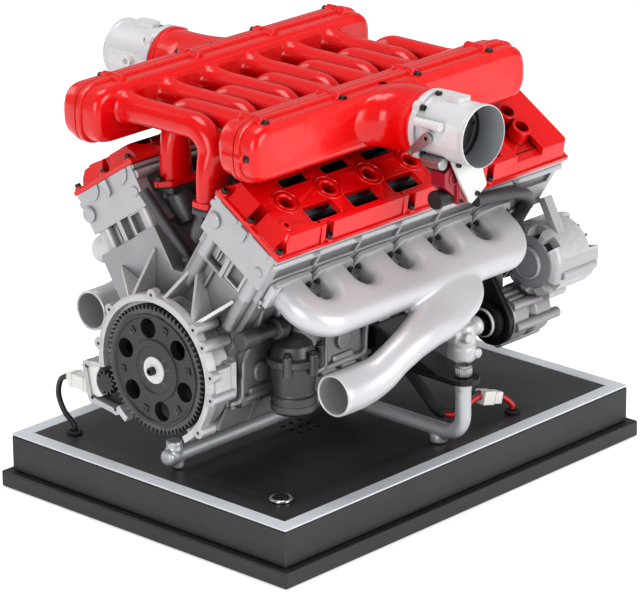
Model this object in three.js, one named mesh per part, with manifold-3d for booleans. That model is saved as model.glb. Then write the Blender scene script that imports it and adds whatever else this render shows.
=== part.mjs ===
// A motorised display model of a V-twelve four-stroke engine on its plinth, in millimetres.
// X runs along the crankshaft with the flywheel at its low end, Y to the far side and Z up.
// The origin is the centre of the plinth's underside.
import * as THREE from 'three';
import { mergeVertices } from 'three/addons/utils/BufferGeometryUtils.js';
import Module from 'manifold-3d';

// Clearances
const fit = 0.3;
const runningFit = 0.4;
const overrun = 2;

// Plinth
const plinthLength = 300;
const plinthWidth = 222;
const plinthHeight = 32;
const lowerTierHeight = 9.5;
const tierLedge = 4.7;
const borderWidth = 8.9;
const borderThickness = 1.2;
const panelRecess = 0.4;
const upperWall = 4;
const upperRoof = 3;

// Button
const buttonFrontInset = 34.6;
const buttonSideInset = 36;
const buttonX = buttonFrontInset - plinthLength / 2;
const buttonY = buttonSideInset - plinthWidth / 2;
const buttonRadius = 4.2;
const buttonTravel = 1.5;
const buttonProud = 1;
const bezelRim = 1.4;
const bezelHeight = 1.6;
const bezelBarrelWall = 0.8;
const bezelBarrelDepth = 11;

// Grommets, speaker and control board
const grommetFrontInset = 29.2;
const grommetFrontSide = 30.9;
const grommetRearInset = 82;
const grommetRearSide = 27;
const grommetFrontX = grommetFrontInset - plinthLength / 2;
const grommetFrontY = plinthWidth / 2 - grommetFrontSide;
const grommetRearX = plinthLength / 2 - grommetRearInset;
const grommetRearY = grommetRearSide - plinthWidth / 2;
const grommetRadius = 4.6;
const grommetHeight = 1.6;
const speakerX = -28.4;
const speakerY = -7.9;
const speakerRadius = 17;
const speakerDepth = 9;
const speakerHoleRadius = 1.6;
const speakerHolePitch = 7;
const boardLength = 70;
const boardWidth = 45;
const boardThickness = 1.6;
const boardStandoff = 4;
const boardPostRadius = 2;
const chipSize = 12;
const chipHeight = 3;
const batteryBoxLength = 30;
const batteryRoomShare = 0.85;

// Heights from the plinth up to the crankshaft
const panelTop = plinthHeight - panelRecess;
const footHeight = 3;
const tubeRadius = 4.5;
const standHeight = panelTop + fit + footHeight + tubeRadius;
const sumpClearance = 13.1;
const sumpDepth = 18;
const blockDrop = 18.7;
const crankHeight = standHeight + tubeRadius + sumpClearance + sumpDepth + blockDrop;

// Engine layout
const bankTiltDegrees = 32.5;
const bankTilt = THREE.MathUtils.degToRad(bankTiltDegrees);
const cylinders = 6;
const borePitch = 33;
const headFront = -122;
const headBack = 118;
const bankStagger = 8;
const firstBoreInset = 24.5;
const deckDistance = 72;
const headHeight = 36;
const headHalfWidth = 25;

// Engine block
const blockFront = -116;
const blockBack = 100;
const blockBottom = crankHeight - blockDrop;
const skirtHalfWidth = 36;
const skirtRise = 10.3;
const skirtTop = crankHeight + skirtRise;
const bankFootDistance = 42;
const valleyDistance = 46;
const crankCaseRadius = 22;
const crankCaseWall = 8;

// Sump
const sumpFlange = 3;
const sumpShoulder = 32;
const sumpFloorHalfWidth = 25;
const sumpEndInset = 4;
const sumpWall = 3;

// Bell housing
const bellFront = -136;
const bellRadius = 43;
const bellWall = 3.5;
const bellBackWall = 3.2;
const bellLobeRadius = 3.4;
const bellLobeDepth = 7;
const bellBoreRadius = 13;
const bellLobeDegrees = [89, 39, 7, 126, 149, 172, 190];
const pocketCorners = raised([[53, -10.7], [49.5, -27.7], [31, -30.2]]);
const pocketReach = 3.4;
const finThickness = 1.8;
const finTipDistance = 61;
const finInnerTipOffset = -19;
const finOuterTipOffset = 12;
const finTable = [[97, -1, finInnerTipOffset], [131, -1, finInnerTipOffset], [131, -1, finOuterTipOffset],
  [64, 1, finInnerTipOffset], [61, 1, finOuterTipOffset]];

// Timing cover and its snout
const timingBack = 116;
const snoutRadius = 15;
const snoutTipRadius = 10.5;
const snoutBack = 134;

// Crankshaft
const crankNoseRadius = 6;
const journalRadius = 8;
const crankThrow = 11;
const crankPinRadius = 5;
const crankWebThickness = 4;
const crankWebReach = 7;
const crankFlangeRadius = 12;
const crankFlangeBack = -123.5;
const hubRadius = 7.6;
const hubProud = 0.8;
const hubSocketRadius = 2;
const hubSocketDepth = 2;

// Flywheel and drive
const gearModule = 1;
const ringTeeth = 72;
const pinionTeeth = 12;
const gearPlay = 0.9;
const toothTipShare = 0.9;
const toothRootShare = 1.6;
const toothLandShare = 0.14;
const gearFront = -135.2;
const gearBack = -131.4;
const flywheelDiscRadius = 32;
const flywheelDiscBack = -129.6;
const flywheelStep = 0.5;
const lighteningRadius = 5.8;
const lighteningCircle = 23.8;
const lighteningDegrees = 18.5;
const flywheelHoles = 6;
const flywheelHollowRadius = 13;
const driveDegrees = -24;
const motorOffset = 4.4;
const motorRadius = 8;
const motorBack = -120.6;
const noseFront = -130.8;
const noseBack = -129;
const noseMargin = 3.6;
const pinionShaftRadius = 1.5;

// Cylinder heads
const headEndPlateDepth = 5;
const headEndPlateFoot = 12;
const headColumnRadius = 4.2;
const headColumnOffset = 17;
const headRailHeight = 4.2;
const headRailReach = 1.4;
const camDistance = 104;
const camOffset = 12.5;
const camTroughRadius = 7.2;
const headEndWall = 9;
const plugWellRadius = 3.5;
const plugWellFloor = 84;

// Camshafts
const camShaftRadius = 3;
const camBaseRadius = 3.9;
const camLift = 2;
const camLobeWidth = 5;
const camLobeInset = 9.5;
const camShaftInset = 1.2;
const firingShares = [0, 1 / 3, 2 / 3, 1 / 6, 5 / 6, 1 / 2];

// Valve covers
const coverHalfWidth = 27;
const coverFlange = 2.5;
const coverHeight = 12;
const coverSlopeFoot = 3;
const coverSlopeTop = 5.5;
const coverWall = 2.5;
const coverEndFlat = 1.6;
const coverBoxBack = 90;
const wellRingRadius = 6.2;
const wellRingProud = 0.7;
const wellTubeRadius = 5;
const windowLength = 21;
const windowOuterNear = 8;
const windowOuterFar = 17;
const windowInnerNear = -9;
const windowInnerFar = -15.5;
const portX = 87;
const portOffsets = [-7.5, 5];
const portRadius = 5.3;
const portBore = 3.7;
const portProud = 4;

// Exhaust manifolds
const portDistance = 78;
const exhaustFlangeThickness = 3;
const exhaustFlangeLength = 24;
const exhaustFlangeHeight = 16;
const exhaustStubRadius = 8;
const collectorLeanDegrees = 37;
const collectorFullness = 0.85;
const logDistance = 55;
const logRadius = 9.2;
const logBend = 14;
const outletRadius = 11.6;
const outletWall = 1.3;
const outletDepth = 22;
const collectorPlaces = raised([[2, 88, 33.8], [-3, 93, 27.8], [-12, 97.5, 23.3], [-26, 100.5, 18.8],
  [-40, 102, 14.3], [-53, 101.5, 8.3], [-64, 100, 2.1], [-78, 98, -1.1], [-97, 97.5, -1.3]]);
const collectorHalfWidths = [25, 21, 16, 12, 10, 9.6, 10.4, outletRadius, outletRadius];
const collectorHalfThicknesses = [8.4, 9, 9.5, 10, 10.2, 10.4, 10.8, outletRadius, outletRadius];

// Intake plenums, each placed the other way round about the intake centre
const intakeCentre = -19.3;
const flangePlane = 57;
const plenumFront = -108.7;
const plenumBack = 114.3;
const plenumClearance = 1.041;
const plenumHeight = 35;
const coverTop = crankHeight + (deckDistance + headHeight + coverHeight) * Math.cos(bankTilt)
  + (coverHalfWidth - coverSlopeTop) * Math.sin(bankTilt);
const plenumBottom = coverTop + plenumClearance;
const plenumTop = plenumBottom + plenumHeight;
const plenumCorner = 11;
const plenumFlange = 3.4;
const plenumFlangeReach = 1.6;
const plenumWall = 2.4;
const tubDepth = 15;
const tubChamfer = 5;
const lidDepth = 13.5;
const lidRound = 4.5;
const lugRadius = 3.2;
const lugLength = 9;
const lugPlaces = [-93.7, -33.3, 27.3, 87.5];
const endLugDrop = 17.5;
const endLugHeight = plenumTop - endLugDrop;
const throttleDrop = 15.9;
const throttleHeight = plenumTop - throttleDrop;
const throttleX = 2.3;
const neckRadius = 18.3;
const neckEnd = 96.7;
const neckShoulderHalfWidth = 40;
const throttleBore = 16;

// Intake runners and lower castings
const runnerRadius = 7.3;
const runnerTopDrop = 13;
const runnerHeight = plenumTop - runnerTopDrop;
const runnerBend = 14;
const runnerDrop = 22;
const runnerFootRise = 93.3;
const runnerFoot = crankHeight + runnerFootRise;
const bellMouthRadius = 9.6;
const bellMouthLength = 9;
const runnerFootFlange = 4;
const runnerFootEar = 10.5;
const lowerRailHeight = 4;
const lowerRailHalfWidth = 7;
const elbowPlaces = raised([[22, 90.7], [18.5, 82.8], [11, 70.8]]);
const elbowRadii = [7.2, 8, 5.4];

// Throttle bodies
const throttleFlangeRadius = 19.6;
const throttleFlangeDepth = 4;
const throttleRadius = 17.5;
const throttleLength = 37;
const throttleMouth = neckEnd + fit + throttleLength;
const throttlePlateDepth = 21;
const throttlePlateY = throttleMouth - throttlePlateDepth;
const throttlePlateThickness = 1.2;
const throttleShaftRadius = 1.3;
const throttleBossRadius = 3.4;
const throttleBossEnd = 20;
const throttleLeverEnd = 23;
const throttleLeverThickness = 2;
const throttleLeverLength = 15;
const throttleLeverDegrees = 140;
const throttleSteadyThickness = 2;
const throttleSteady = raised([[-26.9, -13.3], [-19.3, -28.3], [-10.9, -42.6], [2.6, -34.3],
  [-0.9, -25.9], [-3, -11.6]], throttleHeight);
const throttleSteadyDepth = 16;
const throttleSteadyY = throttleMouth - throttleSteadyDepth;

// Throttle actuator, hung on the near throttle body's steady plate
const actuatorX = -11;
const actuatorDrop = 34.3;
const actuatorHeight = throttleHeight - actuatorDrop;
const actuatorLength = 17;
const actuatorTall = 15;
const actuatorDepth = 15;
const actuatorPlugLength = 9;
const actuatorPlugRadius = 5;
const actuatorCanRadius = 4;
const actuatorCanLength = 17;

// Compressor
const compressorClearance = 0.5;
const compressorDrop = 18.3;
const compressorZ = crankHeight - compressorDrop;
const compressorRadius = 15.6;
const compressorY = -(skirtHalfWidth + compressorRadius + compressorClearance);
const compressorFront = 89.3;
const compressorBack = 125;
const compressorNeckRadius = 12.5;
const compressorNeckX = 105.5;
const compressorBossRadius = 3.2;
const compressorBossFront = 105;
const compressorBosses = [[142, 117], [-170, 128], [-95, 126]];
const compressorArmHeight = 8;
const compressorPlateRadius = 15.6;
const compressorPlateFront = 85;
const compressorPlateRise = 27.6;
const compressorPlateTop = compressorZ + compressorPlateRise;
const compressorHubRadius = 11.5;
const compressorHubFront = 78;
const compressorHubStep = 3;
const compressorShaftRadius = 2.5;

// Alternator
const alternatorSideStep = 14.5;
const alternatorY = compressorY - alternatorSideStep;
const alternatorRise = 15.8;
const alternatorZ = crankHeight + alternatorRise;
const alternatorRadius = 21;
const alternatorFront = 100;
const alternatorBack = 141.5;
const alternatorWall = 2.4;
const fanRoom = 11;
const fanWindowDegrees = [85, 125, 165];
const alternatorDome = 5;
const alternatorBossRadius = 10;
const alternatorSlots = 8;
const alternatorSlotWidth = 4.4;
const alternatorSlotLength = 7;
const rotorShaftRadius = 3;
const fanRadius = 17;
const strutWidth = 7;
const strutThickness = 5;

// Crank pulley
const pulleyX = 146;
const pulleyWidth = 7;
const pulleyRadius = 20;
const pulleyLip = 1.6;

// Coolant pump
const pumpX = 60.5;
const pumpRadius = 8.4;
const pumpRise = 5.6;
const pumpTop = compressorZ + pumpRise;
const pumpDrop = 17.9;
const pumpBottom = compressorZ - pumpDrop;
const pumpBarrelFront = 50;
const pumpBarrelBack = 74;
const pumpBarrelRadius = 5.2;

// Oil filter
const filterX = -79.5;
const filterClampRadius = 15;
const filterProfile = raised([[0, -26.2], [11.4, -26.2], [12.6, -23.7], [12.6, -16.2], [11.3, -14.7],
  [13.4, 0.8], [filterClampRadius, 2.3], [filterClampRadius, 6.3], [12.6, 7.8],
  [10.6, 13.3], [6, 17.3], [0, 18.3]]);
const filterEars = 3;
const filterEarRadius = 2.6;
const filterEarRise = 10.3;
const filterEarTop = crankHeight + filterEarRise;
const filterEarLength = 12;
const filterEarBottom = filterEarTop - filterEarLength;

// Side pipe and valley pipe
const sidePipeRadius = 3.6;
const sidePipeFlangeRadius = 6;
const sidePipeFlangeLength = 7;
const sidePipeFront = -124;
const sidePipeBack = -90;
const sidePipeStepRadius = 5.4;
const sidePipeStepLength = 12;
const sidePipeDistance = 51;
const valleyPipeRadius = 3.2;
const [valleyPipeTop, valleyPipeFoot] = raised([[-121, 20, 95.3], [-107, 0, 57.8]]);
const valleyCollarRadius = 4.4;
const valleyCollarHeight = 6.5;

// Stand and mounts
const spineFront = -128.8;
const crossTubeX = 6;
const legY = 100.5;
const bracketThickness = 3;
const legTop = blockBottom - bracketThickness;
const legBend = 13;
const studRadius = 2.4;
const studReach = 9;
const footRadius = 5;
const footY = 82.5;
const frontFootX = -119;
const frontFootRadius = 3.5;
const postX = -121.5;
const bracketTongueRadius = 9.5;
const bracketPadHeight = 34;
const bracketPadThickness = 4;
const bracketHalfLength = 18;
const bracketShift = 10;
const nutRadius = 4.9;
const nutHeight = 6.5;
const nutFlutes = 14;
const nutFluteDepth = 0.35;

// Leads
const leadRadius = 1.6;
const leadStepDiameters = 2.5;
const connectorFrontY = 66;
const connectorFrontX = -127;
const connectorFrontDrop = 25.2;
const connectorFrontZ = crankHeight - connectorFrontDrop;
const connectorLength = 17;
const connectorHeight = 8;
const connectorWidth = 8;
const connectorRearX = 52;
const connectorRearY = -80;
const connectorRearZ = 44.6;
const connectorRearDegrees = 15;
const leadFrontRoute = [...raised([[-127, 74.8, -25.2], [-127, 78.5, -25.4], [-127, 84, -29.2], [-126, 87, -38.7]]),
  [-124, 85, 45], [-121.6, 81.6, 39], [grommetFrontX, grommetFrontY, 36], [grommetFrontX, grommetFrontY, 33.8]];
const leadRearRoute = [...raised([[29, -28.3, -29.8], [28.5, -33, -31.8], [26, -44, -36.7]]),
  [23.5, -58, 48], [23.5, -67, 41], [27, -74.5, 39.5], [33, -78.5, 43.5], [41.9, -80, 47.3], [52, -80, 44.6], [62.1, -80, 41.9],
  [66, -82, 39], [grommetRearX, grommetRearY, 36], [grommetRearX, grommetRearY, 33.8]];

// Facets
const fineSides = 32;
const roundSides = 18;
const pipeSides = 10;
const middleSides = 14;
const smallSides = 8;
const leastSides = 6;
const webSides = 4;

// Finishes
const redPaint = finish(0xd3141a, 0.28, 0.1);
const castAluminium = finish(0xb4b7ba, 0.5, 0.75);
const darkCasting = finish(0x66696c, 0.5, 0.75);
const gunmetal = finish(0x3c3d3f, 0.45, 0.7);
const silverPaint = finish(0xd4d6d8, 0.38, 0.7);
const blackPlastic = finish(0x1a1a1c, 0.55, 0);
const blackMetal = finish(0x232325, 0.4, 0.6);
const steel = finish(0xa5a6a8, 0.3, 0.95);
const whitePlastic = finish(0xe9e8e4, 0.5, 0);
const borderWhite = finish(0xd8dde3, 0.45, 0.1);
const rubber = finish(0x141414, 0.85, 0);
const redPlastic = finish(0xa01228, 0.4, 0);
const boardGreen = finish(0x1f5a35, 0.6, 0);

// Places worked out from the sizes above
const collectorLean = THREE.MathUtils.degToRad(collectorLeanDegrees);
const coverJoint = deckDistance + headHeight;
const upperTop = plinthHeight - borderThickness - fit;
const nearBank = { side: -1, front: headFront };
const farBank = { side: 1, front: headFront + bankStagger };
const firstRunner = -((cylinders - 1) / 2) * borePitch + borePitch / 4;
const filterY = -(skirtHalfWidth + filterClampRadius + 2 * fit);
const pitchRadius = (gearModule * ringTeeth) / 2;
const pinionPitchRadius = (gearModule * pinionTeeth) / 2;
const gearDistance = pitchRadius + pinionPitchRadius + gearPlay;
const driveAngle = THREE.MathUtils.degToRad(driveDegrees);
const pinionPlace = polar(gearDistance, driveAngle);
const motorPlace = polar(gearDistance + motorOffset, driveAngle);

function finish(color, roughness, metalness) {
  return new THREE.MeshStandardMaterial({ color, roughness, metalness, flatShading: true });
}

// Points given by their height above the crankshaft or another level
function raised(points, level = crankHeight) {
  return points.map((point) => [...point.slice(0, -1), point.at(-1) + level]);
}

// A point in the YZ plane at a radius and angle from the crankshaft's axis
function polar(radius, angle) {
  return [radius * Math.cos(angle), crankHeight + radius * Math.sin(angle)];
}

// A point of a bank's section: offset outwards across the bank, distance up it from the crankshaft
function bankPoint(side, offset, distance) {
  const y = side * (distance * Math.sin(bankTilt) + offset * Math.cos(bankTilt));
  const z = crankHeight + distance * Math.cos(bankTilt) - offset * Math.sin(bankTilt);
  return [y, z];
}

function boreX(bank, index) {
  return bank.front + firstBoreInset + index * borePitch;
}

const wasm = await Module();
wasm.setup();

// A closed geometry as a solid, with its faces turned outwards
function solidOf(geometry, matrix = new THREE.Matrix4()) {
  const plain = geometry.clone().applyMatrix4(matrix);
  plain.deleteAttribute('normal');
  plain.deleteAttribute('uv');
  const merged = mergeVertices(plain);
  const places = merged.attributes.position.array;
  const corners = merged.index.array;
  const faces = [];
  let volume = 0;
  const [a, b, c] = [new THREE.Vector3(), new THREE.Vector3(), new THREE.Vector3()];
  for (let i = 0; i < corners.length; i += 3) {
    const [p, q, r] = [corners[i], corners[i + 1], corners[i + 2]];
    if (p === q || q === r || r === p) continue;
    faces.push([p, q, r]);
    a.fromArray(places, p * 3);
    b.fromArray(places, q * 3);
    c.fromArray(places, r * 3);
    volume += a.dot(b.cross(c));
  }
  const turned = volume < 0 ? faces.map(([p, q, r]) => [p, r, q]) : faces;
  const mesh = new wasm.Mesh({
    numProp: 3,
    vertProperties: new Float32Array(places),
    triVerts: new Uint32Array(turned.flat()),
  });
  return new wasm.Manifold(mesh);
}

function join(first, ...others) {
  return others.flat().reduce((sum, solid) => sum.add(solid), first);
}

function cut(first, ...tools) {
  return tools.flat().reduce((rest, tool) => rest.subtract(tool), first);
}

// A box between two corners
function block(x0, x1, y0, y1, z0, z1) {
  const box = new THREE.BoxGeometry(x1 - x0, y1 - y0, z1 - z0);
  box.translate((x0 + x1) / 2, (y0 + y1) / 2, (z0 + z1) / 2);
  return solidOf(box);
}

// A round bar between two points, tapered when a second radius is given
function rod(from, to, radius, sides = roundSides, endRadius = radius) {
  const start = new THREE.Vector3(...from);
  const run = new THREE.Vector3(...to).sub(start);
  const bar = new THREE.CylinderGeometry(endRadius, radius, run.length(), sides);
  const turn = new THREE.Quaternion().setFromUnitVectors(new THREE.Vector3(0, 1, 0), run.clone().normalize());
  const middle = start.addScaledVector(run, 1 / 2);
  return solidOf(bar, new THREE.Matrix4().compose(middle, turn, new THREE.Vector3(1, 1, 1)));
}

function rodX(x0, x1, y, z, radius, sides = roundSides, endRadius = radius) {
  return rod([x0, y, z], [x1, y, z], radius, sides, endRadius);
}

function rodY(x, y0, y1, z, radius, sides = roundSides, endRadius = radius) {
  return rod([x, y0, z], [x, y1, z], radius, sides, endRadius);
}

function rodZ(x, y, z0, z1, radius, sides = roundSides, endRadius = radius) {
  return rod([x, y, z0], [x, y, z1], radius, sides, endRadius);
}

// A solid of revolution: the profile's points are radius and height along Z
function turnedZ(x, y, profile, sides = roundSides) {
  const points = profile.map(([radius, height]) => new THREE.Vector2(radius, height));
  const lathe = new THREE.LatheGeometry(points, sides);
  const upright = new THREE.Matrix4().makeRotationX(Math.PI / 2);
  return solidOf(lathe, new THREE.Matrix4().makeTranslation(x, y, 0).multiply(upright));
}

// A solid of revolution about a line along X: the profile's points are radius and place along X
function turnedX(y, z, profile, sides = roundSides) {
  const points = profile.map(([radius, place]) => new THREE.Vector2(radius, place));
  const lathe = new THREE.LatheGeometry(points, sides);
  const along = new THREE.Matrix4().makeRotationZ(-Math.PI / 2);
  return solidOf(lathe, new THREE.Matrix4().makeTranslation(0, y, z).multiply(along));
}

function shapeOf(outline) {
  return new THREE.Shape(outline.map(([u, v]) => new THREE.Vector2(u, v)));
}

function extruded(outline, depth, matrix) {
  return solidOf(new THREE.ExtrudeGeometry(shapeOf(outline), { depth, bevelEnabled: false }), matrix);
}

// An outline in the YZ plane carried along X
function prismX(outline, x0, x1) {
  const along = new THREE.Matrix4().makeBasis(new THREE.Vector3(0, 1, 0), new THREE.Vector3(0, 0, 1),
    new THREE.Vector3(1, 0, 0));
  return extruded(outline, x1 - x0, new THREE.Matrix4().makeTranslation(x0, 0, 0).multiply(along));
}

// An outline in the XZ plane carried along Y
function prismY(outline, y0, y1) {
  const across = new THREE.Matrix4().makeBasis(new THREE.Vector3(1, 0, 0), new THREE.Vector3(0, 0, 1),
    new THREE.Vector3(0, -1, 0));
  return extruded(outline, y1 - y0, new THREE.Matrix4().makeTranslation(0, y1, 0).multiply(across));
}

// An outline in the XY plane carried up Z
function prismZ(outline, z0, z1) {
  return extruded(outline, z1 - z0, new THREE.Matrix4().makeTranslation(0, 0, z0));
}

function rectangle(u0, u1, v0, v1) {
  return [[u0, v0], [u1, v0], [u1, v1], [u0, v1]];
}

// A rectangle with round corners
function roundedRectangle(u0, u1, v0, v1, radius, steps = 3) {
  const corners = [[u1 - radius, v0 + radius, -90], [u1 - radius, v1 - radius, 0],
    [u0 + radius, v1 - radius, 90], [u0 + radius, v0 + radius, 180]];
  return corners.flatMap(([u, v, degrees]) => arc(u, v, radius, degrees, degrees + 90, steps));
}

function arc(u, v, radius, fromDegrees, toDegrees, steps) {
  const points = [];
  for (let step = 0; step <= steps; step += 1) {
    const angle = THREE.MathUtils.degToRad(fromDegrees + ((toDegrees - fromDegrees) * step) / steps);
    points.push([u + radius * Math.cos(angle), v + radius * Math.sin(angle)]);
  }
  return points;
}

function circle(u, v, radius, sides) {
  return arc(u, v, radius, 0, 360 * (1 - 1 / sides), sides - 1);
}

// The outline of points held by a tight string, anticlockwise
function stringRound(points) {
  const sorted = [...points].sort((p, q) => p[0] - q[0] || p[1] - q[1]);
  const side = (list) => {
    const kept = [];
    for (const point of list) {
      while (kept.length > 1 && turnOf(kept.at(-2), kept.at(-1), point) <= 0) kept.pop();
      kept.push(point);
    }
    return kept.slice(0, -1);
  };
  return [...side(sorted), ...side(sorted.reverse())];
}

function turnOf(a, b, c) {
  return (b[0] - a[0]) * (c[1] - a[1]) - (b[1] - a[1]) * (c[0] - a[0]);
}

// A trough's outline: half a circle, then straight walls to an end height
function archOutline(u, v, radius, end, steps = 8) {
  const below = end > v;
  const bow = below ? arc(u, v, radius, 180, 360, steps) : arc(u, v, radius, 0, 180, steps);
  return [...bow, [bow.at(-1)[0], end], [bow[0][0], end]];
}

// A closed skin over rings of equal numbers of points
function skin(rings) {
  const count = rings[0].length;
  const places = [];
  const faces = [];
  for (const ring of rings) {
    for (const point of ring) places.push(point.x, point.y, point.z);
  }
  for (let ring = 0; ring + 1 < rings.length; ring += 1) {
    for (let side = 0; side < count; side += 1) {
      const a = ring * count + side;
      const b = ring * count + ((side + 1) % count);
      faces.push(a, b, b + count, a, b + count, a + count);
    }
  }
  const last = (rings.length - 1) * count;
  for (let side = 1; side + 1 < count; side += 1) {
    faces.push(0, side + 1, side);
    faces.push(last, last + side, last + side + 1);
  }
  const geometry = new THREE.BufferGeometry();
  geometry.setAttribute('position', new THREE.Float32BufferAttribute(places, 3));
  geometry.setIndex(faces);
  return solidOf(geometry);
}

// A section carried along stations of centre, half width and half thickness.
// The facing direction sets where the thickness lies; squareness below 1 gives fuller corners.
function loft(stations, facing, sides = pipeSides, squareness = 1) {
  const centres = stations.map(([centre]) => new THREE.Vector3(...centre));
  const rings = stations.map(([, wide, thick], index) => {
    const tangent = pathDirection(centres, index);
    const across = new THREE.Vector3().crossVectors(facing, tangent).normalize();
    const normal = new THREE.Vector3().crossVectors(tangent, across);
    return Array.from({ length: sides }, (_, side) => {
      const angle = (2 * Math.PI * (side + 1 / 2)) / sides;
      const reach = fuller(Math.cos(angle), squareness) * wide;
      const rise = fuller(Math.sin(angle), squareness) * thick;
      return centres[index].clone().addScaledVector(across, reach).addScaledVector(normal, rise);
    });
  });
  return skin(rings);
}

function fuller(value, power) {
  return Math.sign(value) * Math.abs(value) ** power;
}

function pathDirection(centres, index) {
  const before = centres[Math.max(index - 1, 0)];
  const after = centres[Math.min(index + 1, centres.length - 1)];
  const middle = centres[index];
  const arriving = middle.clone().sub(before).normalize();
  const leaving = after.clone().sub(middle).normalize();
  return arriving.add(leaving).normalize();
}

function pipe(route, radius, facing, sides = pipeSides) {
  return loft(route.map((point) => [point, radius, radius]), facing, sides);
}

// The same outline at two depths, drawn in at the second, as a slab with sloping edges
function slopedSlab(low, lowHeight, high, highHeight) {
  const ring = (outline, height) => outline.map(([x, y]) => new THREE.Vector3(x, y, height));
  return skin([ring(low, lowHeight), ring(high, highHeight)]);
}

function flexible(route, radius) {
  const path = new THREE.CatmullRomCurve3(route.map((point) => new THREE.Vector3(...point)));
  const steps = Math.round(path.getLength() / (2 * radius * leadStepDiameters));
  const section = shapeOf(circle(0, 0, radius, smallSides));
  return solidOf(new THREE.ExtrudeGeometry(section, { steps, extrudePath: path, bevelEnabled: false }));
}

// A gear's outline about the origin, one tooth centred on the phase angle
function gearOutline(teeth, phase) {
  const tip = (gearModule * teeth) / 2 + gearModule * toothTipShare;
  const root = (gearModule * teeth) / 2 - gearModule * toothRootShare;
  const pitch = (2 * Math.PI) / teeth;
  const points = [];
  for (let tooth = 0; tooth < teeth; tooth += 1) {
    for (const [radius, share] of [[tip, -toothLandShare], [tip, toothLandShare], [root, 1 / 2]]) {
      const angle = phase + (tooth + share) * pitch;
      points.push([radius * Math.cos(angle), radius * Math.sin(angle)]);
    }
  }
  return points;
}

function moved(outline, [u, v]) {
  return outline.map(([x, y]) => [x + u, y + v]);
}

const engine = new THREE.Group();
const nearHeadGroup = bankGroup(nearBank);
const farHeadGroup = bankGroup(farBank);
const nearIntakeGroup = intakeGroup(0);
const farIntakeGroup = intakeGroup(Math.PI);
engine.add(nearHeadGroup, farHeadGroup, nearIntakeGroup, farIntakeGroup);

function bankGroup(bank) {
  const group = new THREE.Group();
  group.position.z = crankHeight;
  group.rotation.x = -bank.side * bankTilt;
  return group;
}

function intakeGroup(turn) {
  const group = new THREE.Group();
  group.position.x = intakeCentre;
  group.rotation.z = turn;
  return group;
}

// Adds a solid to a group as a named mesh; side -1 mirrors it across the XZ plane
function add(name, solid, material, group = engine, side = 1) {
  const { vertProperties, triVerts } = solid.getMesh();
  const geometry = new THREE.BufferGeometry();
  geometry.setAttribute('position', new THREE.Float32BufferAttribute(vertProperties, 3));
  geometry.setIndex([...triVerts]);
  if (side < 0) {
    geometry.scale(1, -1, 1);
    const index = geometry.index;
    for (let i = 0; i < index.count; i += 3) {
      const swapped = index.getX(i + 1);
      index.setX(i + 1, index.getX(i + 2));
      index.setX(i + 2, swapped);
    }
  }
  geometry.computeVertexNormals();
  const mesh = new THREE.Mesh(geometry, material);
  mesh.name = name;
  group.add(mesh);
}

function plinth() {
  const halfLength = plinthLength / 2;
  const halfWidth = plinthWidth / 2;
  const upperX = halfLength - tierLedge;
  const upperY = halfWidth - tierLedge;
  const innerX = upperX - borderWidth;
  const innerY = upperY - borderWidth;
  const upperBottom = lowerTierHeight + fit;
  const buttonHole = buttonRadius + bezelBarrelWall + 2 * fit;
  const holes = (bottom, top) => [
    rodZ(buttonX, buttonY, bottom - overrun, top + overrun, buttonHole, pipeSides),
    rodZ(grommetFrontX, grommetFrontY, bottom - overrun, top + overrun, grommetRadius - grommetHeight, pipeSides),
    rodZ(grommetRearX, grommetRearY, bottom - overrun, top + overrun, grommetRadius - grommetHeight, pipeSides),
  ];
  add('plinth_lower', block(-halfLength, halfLength, -halfWidth, halfWidth, 0, lowerTierHeight), blackPlastic);
  const shell = block(-upperX, upperX, -upperY, upperY, upperBottom, upperTop);
  const hollow = block(-upperX + upperWall, upperX - upperWall, -upperY + upperWall, upperY - upperWall,
    upperBottom - overrun, upperTop - upperRoof);
  const speakerHole = rodZ(speakerX, speakerY, upperBottom, plinthHeight, speakerRadius - upperRoof, pipeSides);
  add('plinth_upper', cut(shell, hollow, speakerHole, holes(upperBottom, upperTop)), blackPlastic);
  const border = cut(block(-upperX, upperX, -upperY, upperY, upperTop + fit, plinthHeight),
    block(-innerX, innerX, -innerY, innerY, upperTop - overrun, plinthHeight + overrun));
  add('plinth_border', border, borderWhite);
  const panel = block(-innerX + fit, innerX - fit, -innerY + fit, innerY - fit, upperTop + fit, panelTop);
  const speakerHoles = [];
  for (let row = -1; row <= 1; row += 1) {
    for (let column = -1; column <= 1; column += 1) {
      const x = speakerX + column * speakerHolePitch;
      const y = speakerY + row * speakerHolePitch;
      speakerHoles.push(rodZ(x, y, upperTop - overrun, plinthHeight + overrun, speakerHoleRadius, leastSides));
    }
  }
  add('plinth_panel', cut(panel, speakerHoles, holes(upperTop, panelTop)), blackPlastic);
}

function button() {
  const barrel = buttonRadius + bezelBarrelWall + fit;
  const inner = buttonRadius + fit;
  const rimTop = panelTop + fit + bezelHeight;
  const barrelFoot = panelTop - bezelBarrelDepth;
  const ledge = barrelFoot + bezelBarrelWall;
  add('button_bezel', turnedZ(buttonX, buttonY, [[inner - bezelBarrelWall, barrelFoot], [barrel, barrelFoot],
    [barrel, panelTop + fit], [barrel + bezelRim, panelTop + fit], [barrel + bezelRim - fit, rimTop],
    [inner, rimTop], [inner, ledge], [inner - bezelBarrelWall, ledge],
    [inner - bezelBarrelWall, barrelFoot]], roundSides), steel);
  const capFoot = ledge + buttonTravel + fit;
  const capTop = rimTop + buttonProud;
  const capProfile = [[0, capFoot], [buttonRadius, capFoot], [buttonRadius, capTop - fit],
    [buttonRadius - fit, capTop], [0, capTop]];
  add('button_cap', turnedZ(buttonX, buttonY, capProfile, roundSides), blackMetal);
}

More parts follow.
